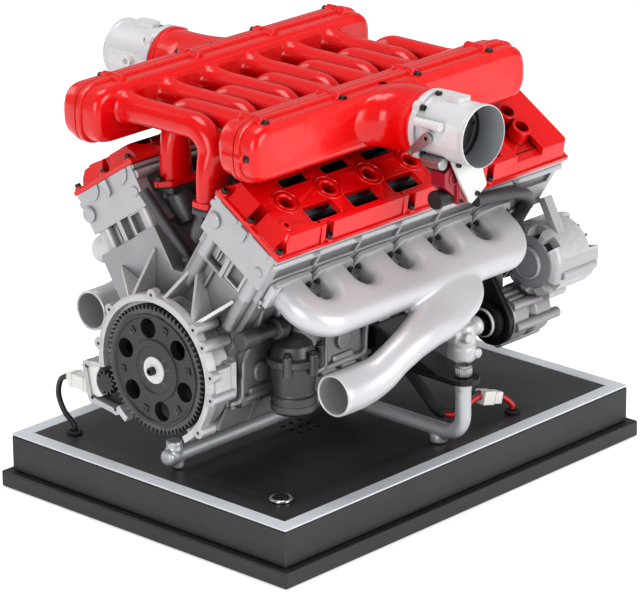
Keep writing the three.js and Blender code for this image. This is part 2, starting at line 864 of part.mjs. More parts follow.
function grommet(name, x, y) {
  const bore = leadRadius + fit;
  const waist = grommetRadius - grommetHeight - fit;
  const underside = upperTop - upperRoof - fit;
  add(name, turnedZ(x, y, [[bore, underside - grommetHeight], [grommetRadius, underside - grommetHeight],
    [grommetRadius, underside], [waist, underside], [waist, panelTop + fit], [grommetRadius, panelTop + fit],
    [waist, panelTop + fit + grommetHeight], [bore, panelTop + fit + grommetHeight],
    [bore, underside - grommetHeight]], pipeSides), rubber);
}

function electrics() {
  const under = upperTop - upperRoof - fit;
  const speakerProfile = [[0, under - speakerDepth], [speakerRadius / 2, under - speakerDepth],
    [speakerRadius, under - bezelHeight], [speakerRadius, under], [speakerRadius - bezelHeight, under],
    [speakerRadius / 3, under - speakerDepth / 2], [0, under - speakerDepth / 2]];
  const speaker = turnedZ(speakerX, speakerY, speakerProfile, roundSides);
  add('speaker', speaker, blackPlastic);
  const floor = lowerTierHeight + fit;
  const boardX = speakerX + speakerRadius + boardLength;
  const boardZ = floor + boardStandoff;
  const halfLength = boardLength / 2;
  const halfWidth = boardWidth / 2;
  const board = block(boardX - halfLength, boardX + halfLength, -halfWidth, halfWidth, boardZ,
    boardZ + boardThickness);
  const posts = [];
  for (const x of [boardX - halfLength + 2 * boardPostRadius, boardX + halfLength - 2 * boardPostRadius]) {
    for (const y of [-halfWidth + 2 * boardPostRadius, halfWidth - 2 * boardPostRadius]) {
      posts.push(rodZ(x, y, floor, boardZ + boardThickness / 2, boardPostRadius, smallSides));
    }
  }
  const surface = boardZ + boardThickness / 2;
  const batteryBoxHeight = (upperTop - upperRoof - surface) * batteryRoomShare;
  const chip = block(boardX - chipSize, boardX, -chipSize / 2, chipSize / 2, surface, surface + chipHeight);
  const cells = block(boardX + halfLength - batteryBoxLength, boardX + halfLength - 4 * boardPostRadius,
    -halfWidth + 4 * boardPostRadius, halfWidth - 4 * boardPostRadius, surface, surface + batteryBoxHeight);
  add('control_board', join(board, posts, chip, cells), boardGreen);
}

function stand() {
  const legRoute = (sign) => [[crossTubeX, sign * legY, legTop], ...arc(legY - legBend, standHeight + legBend,
    legBend, 0, -90, 4).map(([y, z]) => [crossTubeX, sign * y, z])];
  const cross = pipe([...legRoute(-1), ...legRoute(1).reverse()], tubeRadius, new THREE.Vector3(1, 0, 0));
  const spine = rodX(spineFront, crossTubeX, 0, standHeight, tubeRadius, pipeSides);
  const postTop = crankHeight - bellRadius - bellLobeRadius / 2;
  const post = rodZ(postX, 0, standHeight, postTop, tubeRadius, pipeSides);
  const feet = [rodZ(frontFootX, 0, panelTop + fit, standHeight, frontFootRadius, smallSides)];
  const studs = [];
  for (const sign of [-1, 1]) {
    feet.push(rodZ(crossTubeX, sign * footY, panelTop + fit, standHeight, footRadius, pipeSides));
    studs.push(rodZ(crossTubeX, sign * legY, legTop - overrun, legTop + studReach, studRadius, smallSides));
  }
  add('stand_frame', join(cross, spine, post, feet, studs), silverPaint);
}

function engineMount(name, side) {
  const bottom = legTop + fit;
  const top = bottom + bracketThickness;
  const padInner = skirtHalfWidth + fit;
  const padOuter = padInner + bracketPadThickness;
  const front = crossTubeX + bracketShift - bracketHalfLength;
  const back = crossTubeX + bracketShift + bracketHalfLength;
  const padBottom = blockBottom + 2 * fit;
  const tongue = stringRound([[front, padInner], [back, padInner],
    ...circle(crossTubeX, legY, bracketTongueRadius, pipeSides)]);
  const webOutline = [[padInner, bottom], [legY - bracketTongueRadius - studRadius, bottom],
    [legY - bracketTongueRadius - studRadius, top], [padOuter, padBottom + bracketPadHeight / 2],
    [padInner, padBottom + bracketPadHeight / 2]];
  const webs = [front, back - bracketThickness].map((x) => prismX(webOutline, x, x + bracketThickness));
  const pad = block(front, back, padInner, padOuter, bottom, padBottom + bracketPadHeight / 2);
  const hole = rodZ(crossTubeX, legY, bottom - overrun, top + overrun, studRadius + fit, smallSides);
  const bracket = cut(join(prismZ(tongue, bottom, top), webs, pad), hole);
  add(`mount_bracket_${name}`, bracket, blackMetal, engine, side);
  const flutes = Array.from({ length: 2 * nutFlutes }, (_, index) => {
    const angle = (Math.PI * index) / nutFlutes;
    const radius = index % 2 ? nutRadius - nutFluteDepth : nutRadius;
    return [crossTubeX + radius * Math.cos(angle), legY + radius * Math.sin(angle)];
  });
  const nut = prismZ(flutes, top + fit, top + fit + nutHeight);
  const bore = rodZ(crossTubeX, legY, top - overrun, top + nutHeight + overrun, studRadius + fit, smallSides);
  add(`mount_nut_${name}`, cut(nut, bore), steel, engine, side);
}

function blockSection() {
  const half = [[skirtHalfWidth, blockBottom + fit], [skirtHalfWidth, skirtTop],
    bankPoint(1, headHalfWidth, bankFootDistance), bankPoint(1, headHalfWidth, deckDistance),
    bankPoint(1, -headHalfWidth, deckDistance), bankPoint(1, -headHalfWidth, valleyDistance)];
  const mirrored = half.map(([y, z]) => [-y, z]).reverse();
  return [...half, ...mirrored];
}

function crankcase() {
  const body = prismX(blockSection(), blockFront, blockBack);
  const cavity = prismX(archOutline(0, crankHeight, crankCaseRadius, blockBottom - overrun),
    blockFront + crankCaseWall, blockBack - crankCaseWall);
  const bearing = rodX(blockFront - overrun, blockBack + overrun, 0, crankHeight, journalRadius + runningFit,
    roundSides);
  add('engine_block', cut(body, cavity, bearing), darkCasting);
  const floor = blockBottom - sumpDepth;
  const front = blockFront + sumpEndInset;
  const back = blockBack - sumpEndInset;
  const flange = block(front, back, -skirtHalfWidth, skirtHalfWidth, blockBottom - sumpFlange, blockBottom);
  const trough = prismX([[-sumpFloorHalfWidth, floor], [sumpFloorHalfWidth, floor],
    [sumpShoulder, blockBottom - sumpFlange / 2], [-sumpShoulder, blockBottom - sumpFlange / 2]], front, back);
  const hollow = prismX([[-sumpFloorHalfWidth + sumpWall, floor + sumpWall],
    [sumpFloorHalfWidth - sumpWall, floor + sumpWall], [sumpShoulder - sumpWall, blockBottom + overrun],
    [-sumpShoulder + sumpWall, blockBottom + overrun]], front + sumpWall, back - sumpWall);
  add('sump', cut(join(flange, trough), hollow), darkCasting);
}

// A triangular web from the bell housing's rim up to a point of a bank's front face
function fin([degrees, side, tipOffset], back) {
  const base = polar(bellRadius - bellWall / 2, THREE.MathUtils.degToRad(degrees));
  const tip = bankPoint(side, tipOffset, finTipDistance);
  const across = new THREE.Vector3(0, base[1] - tip[1], tip[0] - base[0]).setLength(finThickness / 2);
  const ring = (sign) => [[bellFront + bellLobeDepth, ...base], [back, ...base], [back, ...tip]]
    .map((point) => new THREE.Vector3(...point).addScaledVector(across, sign));
  return skin([ring(-1), ring(1)]);
}

function bellHousing() {
  const back = blockFront - fit;
  const pocket = (reach) => stringRound(pocketCorners.flatMap(([y, z]) => circle(y, z, reach, smallSides))
    .concat([[0, crankHeight]]));
  const outer = join(prismX(circle(0, crankHeight, bellRadius, fineSides), bellFront, back),
    prismX(pocket(pocketReach), bellFront, back));
  const lobes = bellLobeDegrees.map((degrees) => {
    const [y, z] = polar(bellRadius, THREE.MathUtils.degToRad(degrees));
    return rodX(bellFront, bellFront + bellLobeDepth, y, z, bellLobeRadius, leastSides);
  });
  const pocketLobes = pocketCorners.map(([y, z]) => rodX(bellFront, bellFront + bellLobeDepth,
    y + fit, z - fit, bellLobeRadius + fit, smallSides));
  const inner = join(prismX(circle(0, crankHeight, bellRadius - bellWall, fineSides), bellFront - overrun,
    back - bellBackWall), prismX(pocket(fit), bellFront - overrun, back - bellBackWall));
  const motorRoom = rodX(bellFront - overrun, back - bellBackWall, ...motorPlace, motorRadius + fit, roundSides);
  const bore = rodX(bellFront, back + overrun, 0, crankHeight, bellBoreRadius, roundSides);
  const fins = finTable.map((row) => fin(row, back));
  add('bell_housing', cut(join(outer, lobes, pocketLobes, fins), inner, motorRoom, bore), castAluminium);
}

function timingCover() {
  const front = blockBack + fit;
  const body = prismX(blockSection(), front, timingBack);
  const snout = rodX(timingBack - overrun, snoutBack, 0, crankHeight, snoutRadius, roundSides, snoutTipRadius);
  const bore = rodX(front - overrun, snoutBack + overrun, 0, crankHeight, journalRadius + runningFit,
    roundSides);
  add('timing_cover', cut(join(body, snout), bore), castAluminium);
}

function crankshaft() {
  const hubEnd = gearFront - hubProud;
  const noseEnd = pulleyX + pulleyWidth / 2 + pulleyLip;
  const hub = rodX(hubEnd, crankFlangeBack, 0, crankHeight, hubRadius, roundSides);
  const flange = rodX(flywheelDiscBack + fit, crankFlangeBack, 0, crankHeight, crankFlangeRadius, roundSides);
  const socket = rodX(hubEnd - overrun, hubEnd + hubSocketDepth, 0, crankHeight, hubSocketRadius, leastSides);
  const caseFront = blockFront + crankCaseWall;
  const caseBack = blockBack - crankCaseWall;
  const throwLength = (caseBack - caseFront) / cylinders;
  const front = rodX(crankFlangeBack - fit, caseFront + throwLength / 4, 0, crankHeight, journalRadius, pipeSides);
  const back = rodX(caseBack - throwLength / 4, snoutBack - fit, 0, crankHeight, journalRadius, pipeSides);
  const nose = rodX(snoutBack - overrun, noseEnd, 0, crankHeight, crankNoseRadius, pipeSides);
  const throws = [];
  for (let index = 0; index < cylinders; index += 1) {
    const start = caseFront + index * throwLength;
    const angle = 2 * Math.PI * firingShares[index] * 2;
    const pin = polar(crankThrow, angle);
    const tail = polar(-crankWebReach, angle);
    const pinFront = start + throwLength / 4;
    const pinBack = start + (throwLength * 3) / 4;
    const web = stringRound([...circle(...pin, crankPinRadius + fit, webSides),
      ...circle(...tail, crankPinRadius + fit, webSides)]);
    throws.push(rodX(pinFront + fit, pinBack - fit, ...pin, crankPinRadius, leastSides));
    throws.push(prismX(web, pinFront, pinFront + crankWebThickness));
    throws.push(prismX(web, pinBack - crankWebThickness, pinBack));
    if (index) {
      throws.push(rodX(start - throwLength / 4 - fit, pinFront + fit, 0, crankHeight, journalRadius - fit,
        leastSides));
    }
  }
  add('crankshaft', cut(join(front, throws, back, nose, hub, flange), socket), steel);
}

function flywheel() {
  const centre = [0, crankHeight];
  const gear = prismX(moved(gearOutline(ringTeeth, driveAngle), centre), gearFront, gearBack);
  const disc = rodX(gearFront - flywheelStep, flywheelDiscBack, ...centre, flywheelDiscRadius, fineSides);
  const holes = [];
  for (let index = 0; index < flywheelHoles; index += 1) {
    const turn = (2 * Math.PI * index) / flywheelHoles;
    const angle = THREE.MathUtils.degToRad(lighteningDegrees) + turn;
    holes.push(rodX(bellFront - overrun, gearBack + overrun, ...polar(lighteningCircle, angle), lighteningRadius,
      smallSides));
  }
  const hollow = rodX(bellFront - overrun, gearFront, ...centre, flywheelHollowRadius, roundSides);
  const bore = rodX(bellFront - overrun, gearBack + overrun, ...centre, hubRadius + fit, roundSides);
  add('flywheel', cut(join(gear, disc), holes, hollow, bore), blackMetal);
}

function drive() {
  const halfTooth = Math.PI / pinionTeeth;
  const outline = moved(gearOutline(pinionTeeth, driveAngle + Math.PI + halfTooth), pinionPlace);
  const shaft = rodX(gearBack - fit, noseBack - fit, ...pinionPlace, pinionShaftRadius, smallSides);
  add('drive_pinion', join(prismX(outline, gearFront, gearBack), shaft), blackMetal);
  const noseOutline = stringRound([...circle(...pinionPlace, noseMargin + pinionShaftRadius, pipeSides),
    ...circle(...motorPlace, motorRadius - 2 * runningFit, pipeSides)]);
  const trimmed = cut(prismX(noseOutline, noseFront, noseBack),
    rodX(noseFront - overrun, noseBack + overrun, ...polar(gearDistance + motorOffset + motorRadius, driveAngle),
      motorRadius, roundSides),
    rodX(noseFront - overrun, noseBack + overrun, ...pinionPlace, pinionShaftRadius + fit, smallSides));
  add('motor_nose', trimmed, blackPlastic);
  add('drive_motor', rodX(noseBack + fit, motorBack, ...motorPlace, motorRadius, roundSides), whitePlastic);
}

function head(bank, name, group) {
  const top = coverJoint;
  const bottom = deckDistance + fit;
  const body = block(bank.front, headBack, -headHalfWidth, headHalfWidth, bottom, top);
  const rail = block(bank.front, headBack, -headHalfWidth - headRailReach, headHalfWidth + headRailReach,
    top - headRailHeight, top);
  const recess = block(bank.front - overrun, bank.front + headEndPlateDepth, -headHalfWidth - overrun,
    headHalfWidth + overrun, bottom - overrun, bottom + headEndPlateFoot);
  const columns = [-1, 1].map((sign) => rodZ(bank.front + headEndPlateDepth, sign * headColumnOffset, bottom,
    bottom + headEndPlateFoot + overrun, headColumnRadius, pipeSides));
  const wallFront = bank.front + headEndWall;
  const wallBack = headBack - headEndWall;
  const cams = [-camOffset, camOffset].flatMap((offset) => [
    prismX(archOutline(offset, camDistance, camTroughRadius, top + overrun, 5), wallFront, wallBack),
    rodX(bank.front - overrun, headBack + overrun, offset, camDistance, camShaftRadius + runningFit, smallSides),
  ]);
  const wells = [];
  for (let index = 0; index < cylinders; index += 1) {
    wells.push(rodZ(boreX(bank, index), 0, plugWellFloor, top + overrun, plugWellRadius, leastSides));
  }
  const solid = cut(join(cut(join(body, rail), recess), columns), cams, wells);
  add(`head_${name}`, solid, castAluminium, group, bank.side);
}

function camshaft(bank, name, group, offset) {
  const lobeOutline = (angle) => Array.from({ length: leastSides }, (_, side) => {
    const turn = (2 * Math.PI * side) / leastSides;
    const radius = camBaseRadius + camLift * Math.max(0, Math.cos(turn)) ** 2;
    return [offset + radius * Math.cos(turn + angle), camDistance + radius * Math.sin(turn + angle)];
  });
  const lobes = [];
  for (let index = 0; index < cylinders; index += 1) {
    const middle = boreX(bank, index) + camLobeInset;
    const outline = lobeOutline(2 * Math.PI * firingShares[index]);
    lobes.push(prismX(outline, middle - camLobeWidth / 2, middle + camLobeWidth / 2));
  }
  const shaft = rodX(bank.front + camShaftInset, headBack - camShaftInset, offset, camDistance, camShaftRadius,
    leastSides);
  add(name, join(shaft, lobes), steel, group, bank.side);
}

function valveCover(bank, name, group) {
  const bottom = coverJoint + fit;
  const flangeTop = bottom + coverFlange;
  const top = coverJoint + coverHeight;
  const front = bank.front;
  const footFront = front + coverSlopeFoot;
  const topFront = footFront + coverSlopeTop;
  const footSide = coverHalfWidth - coverEndFlat;
  const topSide = footSide - coverSlopeTop + coverEndFlat / 2;
  const back = headBack - coverEndFlat;
  const flange = block(front, headBack, -coverHalfWidth, coverHalfWidth, bottom, flangeTop);
  const main = slopedSlab(rectangle(footFront, back, -footSide, footSide), flangeTop - fit,
    rectangle(topFront, back - fit, -topSide, topSide), top);
  const box = slopedSlab(rectangle(coverBoxBack, back, -footSide, footSide), flangeTop - fit,
    rectangle(coverBoxBack + coverSlopeFoot, back - coverEndFlat, -topSide - coverEndFlat, topSide + coverEndFlat),
    top + fit);
  const hollow = slopedSlab(rectangle(footFront + coverWall, back - coverWall, -footSide + coverWall,
    footSide - coverWall), bottom - fit, rectangle(topFront + coverWall, back - coverWall - fit,
    -topSide + coverWall, topSide - coverWall), top - coverWall);
  const tubes = [];
  const bores = [];
  const windows = [];
  for (let index = 0; index < cylinders; index += 1) {
    const x = boreX(bank, index);
    tubes.push(rodZ(x, 0, bottom, top - coverWall / 2, wellTubeRadius, leastSides));
    tubes.push(rodZ(x, 0, top - coverWall / 2, top + wellRingProud, wellRingRadius, smallSides));
    bores.push(rodZ(x, 0, bottom - overrun, top + overrun, plugWellRadius, leastSides));
    if (index + 1 < cylinders) {
      const windowFront = x + (borePitch - windowLength) / 2;
      const windowBack = windowFront + windowLength;
      for (const [inner, outer] of [[windowOuterNear, windowOuterFar], [windowInnerFar, windowInnerNear]]) {
        windows.push(block(windowFront, windowBack, inner, outer, flangeTop + fit, top + overrun));
      }
    }
  }
  const ports = portOffsets.map((offset) => rodZ(portX, offset, top - coverWall, top + portProud, portRadius,
    pipeSides));
  const portBores = portOffsets.map((offset) => rodZ(portX, offset, top - coverWall / 2, top + portProud + overrun,
    portBore, smallSides));
  const shell = cut(join(flange, main, box), hollow);
  const cover = cut(join(shell, tubes, ports), bores, windows, portBores);
  add(`valve_cover_${name}`, cover, redPaint, group, bank.side);
}

function exhaust(bank, name) {
  const shift = bank.front - headFront;
  const onBank = (x, offset, distance = portDistance) => [x, ...bankPoint(1, offset, distance)];
  const faceOffset = headHalfWidth + fit;
  const upBank = new THREE.Vector3(0, Math.sin(bankTilt), Math.cos(bankTilt));
  const tilted = new THREE.Matrix4().makeRotationX(-bankTilt).setPosition(0, 0, crankHeight);
  const flanges = [];
  const stubs = [];
  for (let index = 0; index < cylinders; index += 1) {
    const x = boreX(bank, index);
    const plate = new THREE.BoxGeometry(exhaustFlangeLength, exhaustFlangeThickness, exhaustFlangeHeight);
    plate.translate(x, faceOffset + exhaustFlangeThickness / 2, portDistance);
    flanges.push(solidOf(plate, tilted));
    const inner = index > 0 && index + 1 < cylinders;
    if (!inner) continue;
    stubs.push(rod(onBank(x, faceOffset + fit), onBank(x, logDistance), exhaustStubRadius, smallSides));
  }
  const first = boreX(bank, 0);
  const last = boreX(bank, cylinders - 1);
  const turn = arc(0, 0, logBend, 180, 90, 3);
  const leading = turn.map(([x, offset]) => onBank(first + logBend + x, logDistance - logBend + offset));
  const trailing = turn.map(([x, offset]) => onBank(last - logBend - x, logDistance - logBend + offset)).reverse();
  const route = [onBank(first, faceOffset + fit), ...leading, ...trailing, onBank(last, faceOffset + fit)];
  const log = pipe(route, logRadius, upBank, smallSides);
  const stations = collectorPlaces.map(([x, y, z], index) => [[x + shift, y, z], collectorHalfWidths[index],
    collectorHalfThicknesses[index]]);
  const facing = new THREE.Vector3(0, Math.sin(collectorLean), Math.cos(collectorLean));
  const collector = loft(stations, facing, pipeSides, collectorFullness);
  const [mouthX, mouthY, mouthZ] = stations.at(-1)[0];
  const mouthRun = mouthX + outletDepth;
  const throat = rodX(mouthX - overrun, mouthRun, mouthY, mouthZ, outletRadius - outletWall, pipeSides);
  add(`exhaust_${name}`, cut(join(log, stubs, collector, flanges), throat), silverPaint, engine, bank.side);
}

// The shape of a plenum seen from its flange, drawn in by a margin
function plenumOutline(margin, steps = 2) {
  return roundedRectangle(plenumFront + margin, plenumBack - margin, plenumBottom + margin, plenumTop - margin,
    plenumCorner - margin / 2, steps);
}

function lugs(y0, y1) {
  const reach = plenumFlangeReach / 2;
  const top = lugPlaces.map((x) => rodY(x, y0, y1, plenumTop + reach - lugRadius / 2, lugRadius, leastSides));
  const end = rodY(plenumFront - reach + lugRadius / 2, y0, y1, endLugHeight, lugRadius, leastSides);
  return [...top, end];
}

function plenumTub(name, group) {
  const face = -flangePlane + fit / 2;
  const inner = -flangePlane + tubDepth;
  const flange = prismY(plenumOutline(-plenumFlangeReach), face, face + plenumFlange);
  const section = [[face + plenumFlange / 2, plenumBottom], [inner - tubChamfer, plenumBottom],
    [inner, plenumBottom + tubChamfer], [inner, plenumTop - tubChamfer], [inner - tubChamfer, plenumTop],
    [face + plenumFlange / 2, plenumTop]];
  const carried = prismX(section, plenumFront - overrun, plenumBack + overrun);
  const body = carried.intersect(prismY(plenumOutline(0), face, inner + overrun));
  const hollow = prismY(plenumOutline(plenumWall + fit), face - overrun, inner - plenumWall);
  const runners = [];
  const ports = [];
  for (let index = 0; index < cylinders; index += 1) {
    const x = firstRunner + index * borePitch;
    const bend = arc(runnerDrop - runnerBend, runnerHeight - runnerBend, runnerBend, 90, 0, 3);
    const route = [[x, inner - plenumWall / 2, runnerHeight], [x, inner + bellMouthLength, runnerHeight],
      ...bend.map(([y, z]) => [x, y, z]), [x, runnerDrop, runnerFoot + fit]];
    const radii = route.map((_, step) => (step ? runnerRadius : bellMouthRadius));
    runners.push(loft(route.map((point, step) => [point, radii[step], radii[step]]), new THREE.Vector3(1, 0, 0),
      smallSides));
    runners.push(block(x - runnerFootEar, x + runnerRadius, runnerDrop - runnerRadius + fit, runnerDrop
      + runnerRadius - fit, runnerFoot + fit, runnerFoot + fit + runnerFootFlange));
    ports.push(rodY(x, inner - plenumWall - overrun, inner + bellMouthLength, runnerHeight,
      runnerRadius - plenumWall, leastSides));
  }
  const shell = cut(join(flange, body, lugs(face, face + lugLength)), hollow);
  add(`plenum_tub_${name}`, cut(join(shell, runners), ports), redPaint, group);
}

function plenumLid(name, group) {
  const face = -flangePlane - fit / 2;
  const outer = face - lidDepth;
  const flange = prismY(plenumOutline(-plenumFlangeReach), face - plenumFlange, face);
  const ring = (y, margin) => plenumOutline(margin).map(([x, z]) => new THREE.Vector3(x, y, z));
  const body = skin([ring(face - plenumFlange / 2, 0), ring(outer + lidRound, plenumFlangeReach / 2),
    ring(outer + lidRound / 3, lidRound / 2), ring(outer, lidRound + fit)]);
  const stations = [[outer + lidRound, neckShoulderHalfWidth, neckRadius - overrun],
    [outer - lidRound, (neckShoulderHalfWidth + 2 * neckRadius) / 3, neckRadius - fit],
    [outer - 2 * lidRound, neckRadius + fit, neckRadius], [-neckEnd, neckRadius, neckRadius]];
  const neck = loft(stations.map(([y, wide, thick]) => [[throttleX, y, throttleHeight], wide, thick]),
    new THREE.Vector3(0, 0, 1), roundSides);
  const hollow = prismY(plenumOutline(plenumWall + lidRound), outer + plenumWall, face + overrun);
  const bore = rodY(throttleX, -neckEnd - overrun, face + overrun, throttleHeight, throttleBore, roundSides);
  const solid = cut(join(flange, body, neck, lugs(face - lugLength, face)), hollow, bore);
  add(`plenum_lid_${name}`, solid, redPaint, group);
}

// The dark castings that take a bank's six runners into its head
function lowerIntake(bank, name) {
  const mirrored = bank.side < 0 ? 1 : -1;
  const xs = Array.from({ length: cylinders }, (_, index) => intakeCentre
    - mirrored * (firstRunner + index * borePitch));
  const first = Math.min(...xs);
  const last = Math.max(...xs);
  const top = runnerFoot;
  const rail = block(first - runnerFootEar, last + runnerFootEar, runnerDrop - lowerRailHalfWidth,
    runnerDrop + lowerRailHalfWidth, top - lowerRailHeight, top);
  const elbows = xs.map((x) => loft(elbowPlaces.map(([y, z], index) => [[x, y, z - fit], elbowRadii[index],
    elbowRadii[index]]), new THREE.Vector3(1, 0, 0), leastSides));
  const wall = new THREE.BoxGeometry(headBack - headFront, headHalfWidth, 2 * headHeight + deckDistance);
  wall.translate((headBack + headFront) / 2, -headHalfWidth / 2 - fit, coverJoint - headHeight);
  const tilted = new THREE.Matrix4().makeRotationX(-bankTilt).setPosition(0, 0, crankHeight);
  add(`lower_intake_${name}`, cut(join(rail, elbows), solidOf(wall, tilted)), gunmetal, engine, bank.side);
}

function throttleBody(name, group, steady) {
  const face = -neckEnd - fit;
  const profile = [[throttleBore, -throttleMouth], [throttleRadius, -throttleMouth],
    [throttleRadius, face - throttleFlangeDepth], [throttleFlangeRadius, face - throttleFlangeDepth],
    [throttleFlangeRadius, face], [throttleBore, face], [throttleBore, -throttleMouth]];
  const points = profile.map(([radius, y]) => new THREE.Vector2(radius, y));
  const lathe = new THREE.LatheGeometry(points, roundSides);
  const barrel = solidOf(lathe, new THREE.Matrix4().makeTranslation(throttleX, 0, throttleHeight));
  const bosses = [-1, 1].map((sign) => rodX(throttleX + sign * (throttleBore + fit), throttleX
    + sign * throttleBossEnd, -throttlePlateY, throttleHeight, throttleBossRadius, pipeSides));
  const shaftHole = rodX(throttleX - throttleBossEnd - overrun, throttleX + throttleBossEnd + overrun,
    -throttlePlateY, throttleHeight, throttleShaftRadius + fit, smallSides);
  const parts = [barrel, ...bosses];
  if (steady) {
    const outline = throttleSteady.map(([x, z]) => [x - intakeCentre, z]);
    parts.push(cut(prismY(outline, -throttleSteadyY - throttleSteadyThickness, -throttleSteadyY),
      rodY(throttleX, -throttleMouth, -neckEnd, throttleHeight, throttleBore + fit, roundSides)));
  }
  add(`throttle_body_${name}`, cut(join(...parts), shaftHole), silverPaint, group);
  const plate = rodY(throttleX, -throttlePlateY - throttlePlateThickness / 2, -throttlePlateY
    + throttlePlateThickness / 2, throttleHeight, throttleBore - runningFit, roundSides);
  const leverFront = throttleX - throttleLeverEnd;
  const shaft = rodX(leverFront, throttleX + throttleBossEnd, -throttlePlateY, throttleHeight,
    throttleShaftRadius, smallSides);
  const angle = THREE.MathUtils.degToRad(throttleLeverDegrees);
  const tip = [-throttlePlateY - throttleLeverLength * Math.cos(angle), throttleHeight
    - throttleLeverLength * Math.sin(angle)];
  const lever = prismX(stringRound([...circle(-throttlePlateY, throttleHeight, throttleBossRadius, smallSides),
    ...circle(...tip, throttleBossRadius / 2, smallSides)]), leverFront, leverFront + throttleLeverThickness);
  add(`throttle_plate_${name}`, join(plate, shaft, lever), steel, group);
}

function throttleActuator() {
  const x = actuatorX - intakeCentre;
  const back = -throttleSteadyY + fit;
  const front = back + actuatorDepth;
  const halfLength = actuatorLength / 2;
  const halfTall = actuatorTall / 2;
  const body = prismY(roundedRectangle(x - halfLength, x + halfLength, actuatorHeight - halfTall,
    actuatorHeight + halfTall, halfTall / 2, 2), back, front);
  const middle = (back + front) / 2;
  const plugHeight = actuatorHeight - halfTall + actuatorPlugRadius;
  const plug = rodX(x - halfLength - actuatorPlugLength, x, middle, plugHeight, actuatorPlugRadius, pipeSides);
  const can = rodX(x - halfLength - actuatorCanLength, x - halfLength + overrun, middle,
    actuatorHeight + halfTall, actuatorCanRadius, pipeSides);
  add('throttle_actuator', join(body, plug, can), redPlastic, nearIntakeGroup);
}

function alternator() {
  const [y, z] = [alternatorY, alternatorZ];
  const shoulder = alternatorFront + alternatorDome;
  const body = turnedX(y, z, [[0, alternatorFront], [alternatorBossRadius, alternatorFront],
    [alternatorBossRadius, alternatorFront + alternatorDome / 2],
    [alternatorRadius - alternatorDome, alternatorFront + alternatorDome / 2], [alternatorRadius, shoulder],
    [alternatorRadius, alternatorBack - alternatorWall], [alternatorRadius - alternatorWall / 2, alternatorBack],
    [0, alternatorBack]], middleSides);
  const slots = [];
  for (let index = 0; index < alternatorSlots; index += 1) {
    const angle = (2 * Math.PI * (index + 1 / 2)) / alternatorSlots;
    const radial = [Math.cos(angle), Math.sin(angle)];
    const place = [y + radial[0] * alternatorRadius, z + radial[1] * alternatorRadius];
    slots.push(rodX(alternatorFront - overrun, shoulder + alternatorSlotLength, ...place, alternatorSlotWidth,
      leastSides));
  }
  const roomFront = alternatorBack - fanRoom;
  const room = rodX(roomFront, alternatorBack + overrun, y, z, alternatorRadius - alternatorWall, middleSides);
  const bore = rodX(roomFront - fanRoom, alternatorBack, y, z, rotorShaftRadius + runningFit, smallSides);
  const windowReach = [0, ...fanWindowDegrees].map((degrees, index) => {
    const angle = THREE.MathUtils.degToRad(degrees);
    const reach = index ? 2 * alternatorRadius : 0;
    return [y + reach * Math.cos(angle), z + reach * Math.sin(angle)];
  });
  const window = prismX(windowReach, roomFront + alternatorWall, alternatorBack + overrun);
  const strutX = headBack - strutThickness / 4;
  const [strutY, strutZ] = bankPoint(-1, headHalfWidth + strutThickness / 2 + 2 * fit, deckDistance + strutWidth);
  const strutRoute = [[strutX, strutY, strutZ],
    [strutX, y - alternatorRadius / 2, z + alternatorRadius - strutThickness]];
  const strut = loft(strutRoute.map((point) => [point, strutThickness / 2, strutWidth / 2]),
    new THREE.Vector3(1, 0, 0), 4);
  add('alternator_body', join(cut(body, slots, room, bore, window), strut), silverPaint);
  const fan = turnedX(y, z, [[0, roomFront + fit], [rotorShaftRadius, roomFront + fit],
    [fanRadius, roomFront + alternatorWall], [fanRadius, alternatorBack - alternatorWall],
    [rotorShaftRadius, alternatorBack - fit], [0, alternatorBack - fit]], middleSides);
  const shaft = rodX(roomFront - fanRoom + fit, roomFront + alternatorWall, y, z, rotorShaftRadius, smallSides);
  add('alternator_rotor', join(fan, shaft), blackMetal);
}

function crankPulley() {
  const front = pulleyX - pulleyWidth / 2;
  const back = pulleyX + pulleyWidth / 2;
  const lip = pulleyRadius + pulleyLip;
  const lipped = turnedX(0, crankHeight, [[0, front - pulleyLip], [lip, front - pulleyLip], [lip, front],
    [pulleyRadius, front], [pulleyRadius, back], [lip, back], [lip, back + pulleyLip], [0, back + pulleyLip]],
  roundSides);
  const bore = rodX(snoutBack, back + 2 * overrun, 0, crankHeight, crankNoseRadius + fit, roundSides);
  add('crank_pulley', cut(lipped, bore), blackMetal);
}

